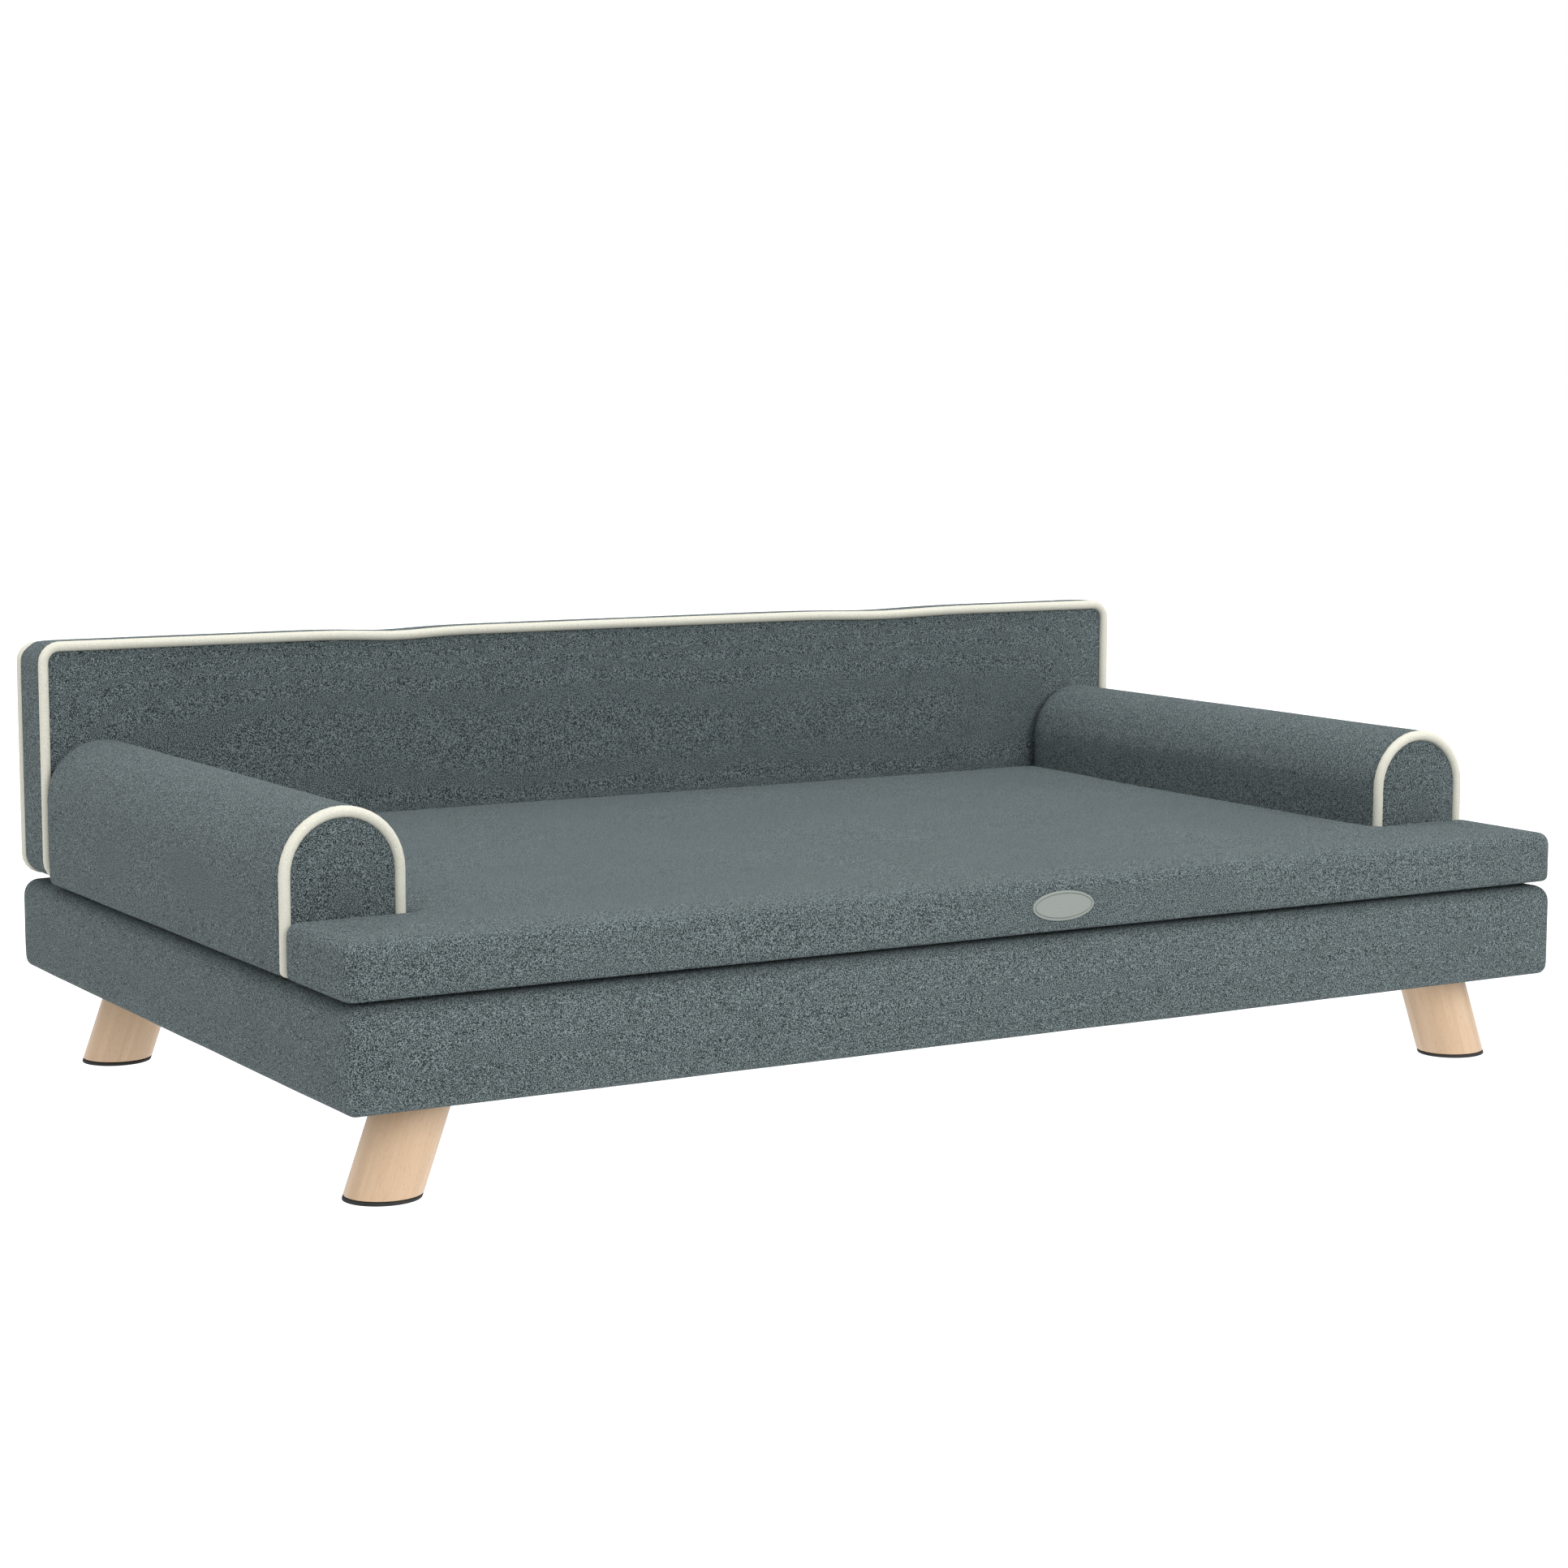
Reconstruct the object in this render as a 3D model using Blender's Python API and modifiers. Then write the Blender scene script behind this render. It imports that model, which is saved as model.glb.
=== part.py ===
"""Sofa-style dog bed: an upholstered box base on four splayed legs, two armrests, a backrest and a loose cushion.

Metres, +Z up. The origin is on the floor under the middle of the bed, +X runs along its length and -Y is its front.
"""
import math

import bmesh
import bpy
from mathutils import Matrix, Vector

# Overall size
LENGTH = 1.000
DEPTH = 0.632
HEIGHT = 0.322
HALF_LENGTH = LENGTH / 2
HALF_DEPTH = DEPTH / 2

# Sheet goods and clearances
GAP = 0.0003
FABRIC = 0.0015
LINING = FABRIC + GAP
PIPING_RADIUS = 0.004
EDGE_BREAK = 0.0005

# How far a cutter reaches past a face, and into a fabric skin
CUT_BEYOND = 0.005
CUT_SKIN = 0.002

# Box base, from the underside up
BASE_BOTTOM = 0.068
BASE_TOP = 0.138
BASE_CORNER = 0.012
BASE_EDGE = 0.010
HEM_WIDTH = 0.025
RAIL_BOTTOM = 0.0715
RAIL_TOP = 0.1118
RAIL_THICKNESS = 0.018
DECK_THICKNESS = 0.009
WADDING_BOTTOM = 0.0795
WADDING_THICKNESS = 0.004
CROSS_RAIL_X = 0.160
BLOCK_TOP = 0.110
DUST_COVER_THICKNESS = 0.001
DUST_COVER_TOP = BASE_BOTTOM - GAP
DUST_COVER_INSET = 0.016
DUST_COVER_HOLE = 0.0055

# Legs: round, leaning outward along X, with level ends
LEG_RADIUS = 0.0245
LEG_LEAN = math.radians(20)
LEG_TOP = DUST_COVER_TOP - DUST_COVER_THICKNESS - GAP
FOOT_X = 0.453
FRONT_LEG_Y = -0.258
REAR_LEG_Y = 0.240
GLIDE_THICKNESS = 0.0025
LEG_AXIS_X = FOOT_X - LEG_TOP * math.tan(LEG_LEAN)
BLOCK_INNER_X = 0.386
BLOCK_LENGTH = 0.084
HANGER_RADIUS = 0.004
HANGER_BOTTOM = 0.040
HANGER_TOP = 0.1085
HANGER_POINT = 0.004
HANGER_HOLE_TOP = LEG_TOP + CUT_BEYOND
NUT_BORE = 0.00408
NUT_BARREL = 0.005
NUT_FLANGE = 0.011
NUT_BOTTOM = 0.092

# Armrests
ARM_HALF_WIDTH = 0.044
ARM_X = HALF_LENGTH - ARM_HALF_WIDTH
ARM_TOP = 0.247
ARM_BOTTOM = BASE_TOP + GAP
ARM_PIPING_FRONT = -0.213
ARM_FOOT_ROUND = 0.008
ARM_RIM = 0.003
ARM_BOARD_HALF_WIDTH = 0.030
ARM_BOARD_THICKNESS = 0.015
ARM_BOARD_INSET = 0.014
ARM_SLOT_MARGIN = 0.008
ARM_PIPING_FOOT_ROUND = 0.006

# Backrest, measured to the outside of its piping
BACK_FRONT = 0.257
BACK_TOP = HEIGHT
BACK_CORNER = 0.012
BACK_RIM = 0.009
PIPING_LIFT = 0.0005
BATTEN_FRONT = 0.2705
BATTEN_DEPTH = 0.026
BATTEN_HEIGHT = 0.020
PANEL_FRONT = 0.2805
PANEL_THICKNESS = 0.012
PANEL_TOP = 0.300
PANEL_HALF_LENGTH = 0.470
BACK_SLOT_MARGIN = 0.0035

# Bolts that hold the armrests and the backrest down
BOLT_RADIUS = 0.003
BOLT_HEAD_RADIUS = 0.006
BOLT_HEAD_HEIGHT = 0.0035
BOLT_HOLE = 0.0035
BOLT_FABRIC_HOLE = 0.0036
ARM_BOLT_X = 0.445
ARM_BOLT_YS = {"front": -0.130, "rear": 0.150}
ARM_BOLT_TOP = 0.1535
BACK_BOLT_X = 0.300
BACK_BOLT_Y = 0.279
BACK_BOLT_TOP = 0.163
BOLT_HOLE_BOTTOM = 0.100
BOLT_HOLE_TOP = 0.170

# Seat cushion, a T with an ear in front of each armrest
CUSHION_BOTTOM = BASE_TOP + GAP
CUSHION_TOP = 0.176
CUSHION_FRONT = -0.314
CUSHION_REAR = 0.2555
CUSHION_EDGE = 0.010
CUSHION_CORNER = 0.012
EAR_HALF_LENGTH = 0.499
EAR_REAR = -0.214
STEM_HALF_LENGTH = 0.4105
STEM_FRONT = -0.270

# Zip in the cushion's rear face
ZIP_Z = 0.158
ZIP_LENGTH = 0.670
ZIP_OPENING = 0.011
ZIP_GROOVE_DEPTH = 0.006
ZIP_GROOVE_END = 0.010
TAPE_THICKNESS = 0.001
TAPE_WIDTH = 0.0077
TAPE_PARTING = 0.0016
COIL_THICKNESS = 0.003
COIL_WIDTH = 0.002
SLIDER_X = -0.322
SLIDER_LENGTH = 0.012
SLIDER_HEIGHT = 0.0086
SLIDER_PLATE = 0.001
SLIDER_WEB = 0.0008
POST_X = SLIDER_X + 0.001
POST_SIZE = 0.002
PULL_X = SLIDER_X + 0.0085
PULL_LENGTH = 0.022
PULL_HEIGHT = 0.006
PULL_THICKNESS = 0.001
PULL_CORNER = 0.002
PULL_EYE = 0.003

# Oval badge on the cushion's front
BADGE_X = 0.038
BADGE_Z = 0.157
BADGE_LENGTH = 0.052
BADGE_HEIGHT = 0.021
BADGE_THICKNESS = 0.0015

SIDES = {"left": -1, "right": 1}
ENDS = {"front": FRONT_LEG_Y, "rear": REAR_LEG_Y}


def clear_scene():
    for thing in list(bpy.data.objects):
        bpy.data.objects.remove(thing, do_unlink=True)


def new_collection(name):
    collection = bpy.data.collections.new(name)
    bpy.context.scene.collection.children.link(collection)
    return collection


def new_material(name, colour, roughness, metallic=0.0):
    made = bpy.data.materials.new(name)
    made.use_nodes = True
    made.diffuse_color = (*colour, 1.0)
    shader = made.node_tree.nodes["Principled BSDF"]
    shader.inputs["Base Color"].default_value = (*colour, 1.0)
    shader.inputs["Roughness"].default_value = roughness
    shader.inputs["Metallic"].default_value = metallic
    return made


clear_scene()
BED = new_collection("dog_bed")
CUTTERS = new_collection("cutters")
FABRIC_GREY = new_material("grey_teal_fabric", (0.13, 0.16, 0.165), 0.95)
PIPING_CREAM = new_material("cream_piping", (0.78, 0.74, 0.65), 0.80)
FOAM = new_material("foam", (0.85, 0.82, 0.68), 0.95)
BEECH = new_material("beech", (0.68, 0.49, 0.33), 0.45)
PINE = new_material("pine", (0.70, 0.53, 0.33), 0.70)
PLYWOOD = new_material("plywood", (0.66, 0.50, 0.32), 0.70)
STEEL = new_material("zinc_plated_steel", (0.60, 0.60, 0.62), 0.35, 1.0)
BLACK_CLOTH = new_material("black_lining", (0.02, 0.02, 0.022), 0.95)
GLIDE_BLACK = new_material("black_pad", (0.015, 0.015, 0.016), 0.80)
ZIP_GREY = new_material("zip_tape", (0.10, 0.12, 0.125), 0.85)
BADGE_GREY = new_material("badge_metal", (0.36, 0.38, 0.38), 0.40, 0.6)


def add_object(name, mesh, location, finish):
    """Put a mesh in the bed's collection, or among the cutters when it has no finish."""
    added = bpy.data.objects.new(name, mesh)
    added.location = location
    if finish:
        mesh.materials.append(finish)
        BED.objects.link(added)
    else:
        added.hide_render = True
        added.display_type = "WIRE"
        CUTTERS.objects.link(added)
    return added


def add_shape(name, shape, location, finish):
    mesh = bpy.data.meshes.new(name)
    bmesh.ops.recalc_face_normals(shape, faces=shape.faces)
    shape.to_mesh(mesh)
    shape.free()
    mesh.shade_smooth()
    mesh.set_sharp_from_angle(angle=math.radians(35))
    return add_object(name, mesh, location, finish)


def round_edges(shape, edges, width):
    if width:
        bmesh.ops.bevel(shape, geom=edges, offset=width, segments=3, profile=0.5, affect="EDGES")


def edge_direction(edge, axis):
    return abs((edge.verts[1].co - edge.verts[0].co).normalized()[axis])


def block(name, low, high, finish, axis=2, corner=0, rims=(0, 0), corner_side=None):
    """A box between two corners. The edges along axis are rounded by corner, and the edges round the faces at
    its low and high end by rims. corner_side keeps only the corners on that side of Y."""
    low = Vector(low)
    high = Vector(high)
    size = high - low
    shape = bmesh.new()
    bmesh.ops.create_cube(shape, size=1.0, matrix=Matrix.Diagonal((*size, 1.0)))
    corners = [edge for edge in shape.edges if edge_direction(edge, axis) > 0.9]
    if corner_side:
        corners = [edge for edge in corners if edge.verts[0].co.y * corner_side > 0]
    round_edges(shape, corners, corner)
    for rim, end in zip(rims, (-1, 1)):
        level = end * size[axis] / 2
        rim_edges = [edge for edge in shape.edges if all(abs(v.co[axis] - level) < 1e-6 for v in edge.verts)]
        round_edges(shape, rim_edges, rim)
    return add_shape(name, shape, (low + high) / 2, finish)


def cylinder(name, place, bottom, top, radius, finish):
    shape = bmesh.new()
    bmesh.ops.create_cone(shape, cap_ends=True, segments=16, radius1=radius, radius2=radius, depth=top - bottom)
    return add_shape(name, shape, (*place, (bottom + top) / 2), finish)


def turned(name, place, profile, finish, closed=False, sides=24):
    """Turn a profile of (radius, height) points about a vertical axis. Its outer side runs from top to bottom."""
    shape = bmesh.new()
    points = [shape.verts.new((radius, 0, height)) for radius, height in profile]
    pairs = list(zip(points, points[1:]))
    if closed:
        pairs.append((points[-1], points[0]))
    for first, second in pairs:
        shape.edges.new((first, second))
    mesh = bpy.data.meshes.new(name)
    shape.to_mesh(mesh)
    shape.free()
    made = add_object(name, mesh, (*place, 0), finish)
    screw = made.modifiers.new("turn", "SCREW")
    screw.steps = sides
    screw.render_steps = sides
    screw.use_merge_vertices = True
    screw.merge_threshold = 0.00001
    return made


def prism(name, outline, finish, start, end, rim=0):
    """A flat outline of (x, z) points, extruded along Y from start to end, its end rims rounded."""
    curve = bpy.data.curves.new(name, "CURVE")
    curve.dimensions = "2D"
    curve.fill_mode = "BOTH"
    curve.extrude = (end - start) / 2
    spline = curve.splines.new("POLY")
    spline.points.add(len(outline) - 1)
    for point, (across, up) in zip(spline.points, outline):
        point.co = (across, up, 0, 1)
    spline.use_cyclic_u = True
    drawn = bpy.data.objects.new(name + "_outline", curve)
    CUTTERS.objects.link(drawn)
    bpy.context.view_layer.update()
    filled = bpy.data.meshes.new_from_object(drawn.evaluated_get(bpy.context.evaluated_depsgraph_get()))
    shape = bmesh.new()
    shape.from_mesh(filled)
    bpy.data.objects.remove(drawn)
    bmesh.ops.remove_doubles(shape, verts=shape.verts, dist=0.00001)
    bmesh.ops.dissolve_limit(shape, angle_limit=0.01, verts=shape.verts, edges=shape.edges)
    bmesh.ops.rotate(shape, verts=shape.verts, matrix=Matrix.Rotation(math.pi / 2, 3, "X"))
    rims = [edge for edge in shape.edges if edge_direction(edge, 1) < 0.1]
    round_edges(shape, rims, rim)
    return add_shape(name, shape, (0, (start + end) / 2, 0), finish)


def loop_tube(name, path, level, finish):
    """Piping: a closed tube along (x, z) points at one depth."""
    curve = bpy.data.curves.new(name, "CURVE")
    curve.dimensions = "3D"
    curve.bevel_depth = PIPING_RADIUS
    curve.bevel_resolution = 2
    spline = curve.splines.new("POLY")
    spline.points.add(len(path) - 1)
    for point, (across, up) in zip(spline.points, path):
        point.co = (across, level, up, 1)
    spline.use_cyclic_u = True
    curve.materials.append(finish)
    piping = bpy.data.objects.new(name, curve)
    BED.objects.link(piping)
    return piping


def line_with(body):
    """Make a body a hollow cover, one fabric thick."""
    wall = body.modifiers.new("cover", "SOLIDIFY")
    wall.thickness = FABRIC
    wall.offset = -1
    wall.use_even_offset = True
    return body


def combine(body, other, operation):
    change = body.modifiers.new(operation.lower(), "BOOLEAN")
    change.operation = operation
    change.solver = "EXACT"
    change.object = other


def cut(body, *tools):
    for tool in tools:
        combine(body, tool, "DIFFERENCE")


def hole_set(name, places, radius, bottom, top):
    """One cutter that holds a vertical cylinder at each place."""
    shape = bmesh.new()
    for across, along in places:
        shift = Matrix.Translation((across, along, (bottom + top) / 2))
        bmesh.ops.create_cone(shape, cap_ends=True, segments=12, radius1=radius, radius2=radius,
                              depth=top - bottom, matrix=shift)
    return add_shape(name, shape, (0, 0, 0), None)


def arc(centre_x, centre_z, radius, first, last, steps):
    """Points of an arc in the XZ plane, from the first to the last angle in degrees."""
    points = []
    for step in range(steps + 1):
        angle = math.radians(first + (last - first) * step / steps)
        points.append((centre_x + radius * math.cos(angle), centre_z + radius * math.sin(angle)))
    return points


def arch_outline(centre_x, half_width, bottom, top, foot_round):
    """The armrest's end: upright sides, a half-round top and small rounds at the feet."""
    foot_x = half_width - foot_round
    foot_z = bottom + foot_round
    outline = arc(centre_x + foot_x, foot_z, foot_round, -90, 0, 3)
    outline += arc(centre_x, top - half_width, half_width, 0, 180, 16)
    outline += arc(centre_x - foot_x, foot_z, foot_round, 180, 270, 3)
    return outline


def frame_outline(half_length, bottom, top, round_radius):
    """A rectangle in the XZ plane with round corners."""
    side = half_length - round_radius
    low = bottom + round_radius
    high = top - round_radius
    outline = arc(side, low, round_radius, -90, 0, 5)
    outline += arc(side, high, round_radius, 0, 90, 5)
    outline += arc(-side, high, round_radius, 90, 180, 5)
    outline += arc(-side, low, round_radius, 180, 270, 5)
    return outline


def joint_frame(name, place, pieces):
    """An empty on a moving body's joint axis, with the body's pieces as its children."""
    pivot = bpy.data.objects.new(name, None)
    pivot.location = place
    BED.objects.link(pivot)
    for piece in pieces:
        piece.location = Vector(piece.location) - Vector(place)
        piece.parent = pivot


# Where the bolts and the legs are
ARM_BOLTS = {(side, end): (sign * ARM_BOLT_X, along)
             for side, sign in SIDES.items() for end, along in ARM_BOLT_YS.items()}
BACK_BOLTS = {side: (sign * BACK_BOLT_X, BACK_BOLT_Y) for side, sign in SIDES.items()}
BOLT_PLACES = list(ARM_BOLTS.values()) + list(BACK_BOLTS.values())
LEG_PLACES = {(end, side): (sign * LEG_AXIS_X, along)
              for end, along in ENDS.items() for side, sign in SIDES.items()}
BOLT_HOLES = hole_set("bolt_holes", BOLT_PLACES, BOLT_HOLE, BOLT_HOLE_BOTTOM, BOLT_HOLE_TOP)
BOLT_FABRIC_HOLES = hole_set("bolt_fabric_holes", BOLT_PLACES, BOLT_FABRIC_HOLE, BOLT_HOLE_BOTTOM,
                             BASE_TOP + CUT_BEYOND)


def base_block(name, inset, bottom, top, finish, rims=(0, 0)):
    """A slab with the base's outline, drawn in by inset."""
    across = HALF_LENGTH - inset
    along = HALF_DEPTH - inset
    return block(name, (-across, -along, bottom), (across, along, top), finish,
                 corner=BASE_CORNER - inset, rims=rims)


def build_base():
    cover = base_block("base_cover", 0, BASE_BOTTOM, BASE_TOP, FABRIC_GREY, (BASE_EDGE, BASE_EDGE))
    line_with(cover)
    hem_x = HALF_LENGTH - HEM_WIDTH
    hem_y = HALF_DEPTH - HEM_WIDTH
    opening = block("base_opening", (-hem_x, -hem_y, BASE_BOTTOM - CUT_BEYOND), (hem_x, hem_y, BASE_BOTTOM + CUT_SKIN),
                    None)
    cut(cover, opening, BOLT_FABRIC_HOLES)

    deck_bottom = RAIL_TOP + GAP
    deck_top = deck_bottom + DECK_THICKNESS
    foam = base_block("base_top_foam", LINING, deck_top + GAP, BASE_TOP - LINING, FOAM, (0, BASE_EDGE - LINING))
    cut(foam, BOLT_FABRIC_HOLES)

    frame_inset = LINING + WADDING_THICKNESS
    wadding = base_block("base_wadding", LINING, WADDING_BOTTOM, deck_top - GAP, FOAM)
    cut(wadding, base_block("wadding_core", frame_inset, RAIL_BOTTOM, BASE_TOP, None))

    frame_inset += GAP
    deck = base_block("deck_panel", frame_inset, deck_bottom, deck_top, PLYWOOD)
    cut(deck, BOLT_HOLES)
    build_frame(HALF_LENGTH - frame_inset, HALF_DEPTH - frame_inset)

    sheet_x = HALF_LENGTH - DUST_COVER_INSET
    sheet_y = HALF_DEPTH - DUST_COVER_INSET
    sheet = block("dust_cover", (-sheet_x, -sheet_y, DUST_COVER_TOP - DUST_COVER_THICKNESS),
                  (sheet_x, sheet_y, DUST_COVER_TOP), BLACK_CLOTH)
    cut(sheet, hole_set("dust_cover_holes", LEG_PLACES.values(), DUST_COVER_HOLE, DUST_COVER_TOP - CUT_BEYOND,
                        DUST_COVER_TOP + CUT_BEYOND))


def build_frame(frame_x, frame_y):
    """Four rails in a box, two bearers and a block in each corner."""
    inner_x = frame_x - RAIL_THICKNESS
    inner_y = frame_y - RAIL_THICKNESS
    rail_round = BASE_CORNER - LINING - WADDING_THICKNESS
    block("front_rail", (-frame_x, -frame_y, RAIL_BOTTOM), (frame_x, -inner_y, RAIL_TOP), PINE,
          corner=rail_round, corner_side=-1)
    block("rear_rail", (-frame_x, inner_y, RAIL_BOTTOM), (frame_x, frame_y, RAIL_TOP), PINE,
          corner=rail_round, corner_side=1)
    rail_y = inner_y - GAP
    for side, sign in SIDES.items():
        near, far = sorted((sign * inner_x, sign * frame_x))
        block(side + "_rail", (near, -rail_y, RAIL_BOTTOM), (far, rail_y, RAIL_TOP), PINE)
        middle = sign * CROSS_RAIL_X
        half = RAIL_THICKNESS / 2
        block("cross_rail_" + side, (middle - half, -rail_y, RAIL_BOTTOM), (middle + half, rail_y, RAIL_TOP), PINE)
    for (end, side), place in LEG_PLACES.items():
        build_leg_block(end + "_" + side, SIDES[side], place, inner_x - GAP, rail_y)


def build_leg_block(label, sign, place, outer_x, outer_y):
    toward = math.copysign(1, place[1])
    near_x, far_x = sorted((sign * BLOCK_INNER_X, sign * outer_x))
    near_y, far_y = sorted((toward * (outer_y - BLOCK_LENGTH), toward * outer_y))
    corner = block("leg_block_" + label, (near_x, near_y, RAIL_BOTTOM), (far_x, far_y, BLOCK_TOP), PINE)
    cut(corner, cylinder("nut_hole_" + label, place, RAIL_BOTTOM - CUT_BEYOND, BLOCK_TOP + CUT_BEYOND,
                         NUT_BARREL + GAP, None))
    flange = BLOCK_TOP + GAP
    profile = [(NUT_BORE, RAIL_TOP), (NUT_FLANGE, RAIL_TOP), (NUT_FLANGE, flange), (NUT_BARREL, flange),
               (NUT_BARREL, NUT_BOTTOM), (NUT_BORE, NUT_BOTTOM)]
    turned("tee_nut_" + label, place, profile, STEEL, closed=True)


def leaning_round(sign, bottom, top):
    """A length of the leg: a round bar that leans outward, its ends cut level. Its axis starts at LEG_TOP."""
    shape = bmesh.new()
    bmesh.ops.create_cone(shape, cap_ends=True, segments=48, radius1=LEG_RADIUS, radius2=LEG_RADIUS,
                          depth=top - bottom)
    middle = (bottom + top) / 2
    lean = math.tan(LEG_LEAN)
    for vert in shape.verts:
        drop = LEG_TOP - (middle + vert.co.z)
        vert.co.x = vert.co.x / math.cos(LEG_LEAN) + sign * lean * drop
    return shape, middle


def build_legs():
    for (end, side), place in LEG_PLACES.items():
        label = end + "_" + side
        sign = SIDES[side]
        shape, middle = leaning_round(sign, GLIDE_THICKNESS + GAP, LEG_TOP)
        leg = add_shape("leg_" + label, shape, (*place, middle), BEECH)
        cut(leg, cylinder("hanger_hole_" + label, place, HANGER_BOTTOM - GAP, HANGER_HOLE_TOP,
                          HANGER_RADIUS + GAP, None))
        shape, middle = leaning_round(sign, 0, GLIDE_THICKNESS)
        glide = add_shape("glide_" + label, shape, (*place, middle), GLIDE_BLACK)
        profile = [(0, HANGER_TOP), (HANGER_RADIUS - EDGE_BREAK, HANGER_TOP), (HANGER_RADIUS, HANGER_TOP - EDGE_BREAK),
                   (HANGER_RADIUS, HANGER_BOTTOM + HANGER_POINT), (0, HANGER_BOTTOM)]
        bolt = turned("hanger_bolt_" + label, place, profile, STEEL)
        joint_frame("leg_axis_" + label, (*place, 0), [leg, glide, bolt])


def build_bolt(name, place, top):
    profile = [(0, top), (BOLT_RADIUS - EDGE_BREAK, top), (BOLT_RADIUS, top - EDGE_BREAK), (BOLT_RADIUS, RAIL_TOP),
               (BOLT_HEAD_RADIUS, RAIL_TOP), (BOLT_HEAD_RADIUS, RAIL_TOP - BOLT_HEAD_HEIGHT),
               (0, RAIL_TOP - BOLT_HEAD_HEIGHT)]
    turned(name, place, profile, STEEL, sides=12)


def build_arm(side, sign):
    middle = sign * ARM_X
    front = ARM_PIPING_FRONT + 2 * PIPING_RADIUS + GAP
    rear = BACK_FRONT - GAP
    floor = ARM_BOTTOM + LINING
    low = Vector((middle - ARM_BOARD_HALF_WIDTH, front + ARM_BOARD_INSET, floor))
    high = Vector((middle + ARM_BOARD_HALF_WIDTH, rear - ARM_BOARD_INSET, floor + ARM_BOARD_THICKNESS))

    outline = arch_outline(middle, ARM_HALF_WIDTH, ARM_BOTTOM, ARM_TOP, ARM_FOOT_ROUND)
    cover = line_with(prism("arm_cover_" + side, outline, FABRIC_GREY, front, rear, ARM_RIM))
    margin = Vector((ARM_SLOT_MARGIN, ARM_SLOT_MARGIN, 0))
    slot = block("arm_slot_" + side, low + margin - Vector((0, 0, CUT_BEYOND)), high - margin, None)
    cut(cover, slot)

    outline = arch_outline(middle, ARM_HALF_WIDTH - LINING, floor, ARM_TOP - LINING, ARM_FOOT_ROUND - LINING)
    foam = prism("arm_foam_" + side, outline, FOAM, front + LINING, rear - LINING, ARM_RIM - LINING)
    room = Vector((GAP, GAP, GAP))
    cut(foam, block("arm_board_room_" + side, low - room - Vector((0, 0, CUT_BEYOND)), high + room, None))
    board = block("arm_board_" + side, low, high, PLYWOOD)
    cut(board, BOLT_HOLES)

    inset = PIPING_RADIUS
    path = arch_outline(middle, ARM_HALF_WIDTH - inset, ARM_BOTTOM + inset, ARM_TOP - inset, ARM_PIPING_FOOT_ROUND)
    loop_tube("arm_piping_" + side, path, ARM_PIPING_FRONT + inset, PIPING_CREAM)


def back_block(name, inset, finish):
    """The backrest's body inside its piping, drawn in by inset."""
    edge = PIPING_RADIUS + PIPING_LIFT + inset
    low = (-HALF_LENGTH + edge, BACK_FRONT + edge, BASE_TOP + GAP + edge)
    high = (HALF_LENGTH - edge, HALF_DEPTH - edge, BACK_TOP - edge)
    rim = BACK_RIM - inset
    return block(name, low, high, finish, axis=1, corner=BACK_CORNER - inset, rims=(rim, rim))


def build_back():
    cover = line_with(back_block("back_cover", 0, FABRIC_GREY))
    bottom = BASE_TOP + GAP + PIPING_RADIUS + PIPING_LIFT
    floor = bottom + LINING
    batten_top = floor + BATTEN_HEIGHT
    batten_rear = BATTEN_FRONT + BATTEN_DEPTH
    panel_rear = PANEL_FRONT + PANEL_THICKNESS

    slot_x = PANEL_HALF_LENGTH - BACK_SLOT_MARGIN
    cut(cover, block("back_slot", (-slot_x, BATTEN_FRONT + BACK_SLOT_MARGIN, bottom - CUT_BEYOND),
                     (slot_x, batten_rear - BACK_SLOT_MARGIN, bottom + CUT_SKIN), None))
    batten = block("back_batten", (-PANEL_HALF_LENGTH, BATTEN_FRONT, floor),
                   (PANEL_HALF_LENGTH, batten_rear, batten_top), PINE)
    cut(batten, BOLT_HOLES)
    block("back_panel", (-PANEL_HALF_LENGTH, PANEL_FRONT, batten_top + GAP),
          (PANEL_HALF_LENGTH, panel_rear, PANEL_TOP), PLYWOOD)

    foam = back_block("back_foam", LINING, FOAM)
    room_x = PANEL_HALF_LENGTH + GAP
    batten_room = block("batten_room", (-room_x, BATTEN_FRONT - GAP, floor - CUT_BEYOND),
                        (room_x, batten_rear + GAP, batten_top + GAP), None)
    panel_room = block("panel_room", (-room_x, PANEL_FRONT - GAP, batten_top - CUT_BEYOND),
                       (room_x, panel_rear + GAP, PANEL_TOP + GAP), None)
    cut(foam, batten_room, panel_room)

    path = frame_outline(HALF_LENGTH - PIPING_RADIUS, BASE_TOP + GAP + PIPING_RADIUS, BACK_TOP - PIPING_RADIUS,
                         BACK_CORNER + PIPING_LIFT)
    loop_tube("back_piping_front", path, BACK_FRONT + PIPING_RADIUS, PIPING_CREAM)
    loop_tube("back_piping_rear", path, HALF_DEPTH - PIPING_RADIUS, PIPING_CREAM)


def cushion_body(name, inset, finish):
    """The T: a wide front block joined to the narrower block between the armrests."""
    rim = CUSHION_EDGE - inset
    low_z = CUSHION_BOTTOM + inset
    high_z = CUSHION_TOP - inset
    ear_x = EAR_HALF_LENGTH - inset
    stem_x = STEM_HALF_LENGTH - inset
    body = block(name, (-ear_x, CUSHION_FRONT + inset, low_z), (ear_x, EAR_REAR - inset, high_z), finish,
                 corner=CUSHION_CORNER - inset, rims=(rim, rim))
    stem = block(name + "_stem", (-stem_x, STEM_FRONT, low_z), (stem_x, CUSHION_REAR - inset, high_z), None,
                 corner=CUSHION_CORNER - inset, rims=(rim, rim))
    combine(body, stem, "UNION")
    return body


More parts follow.
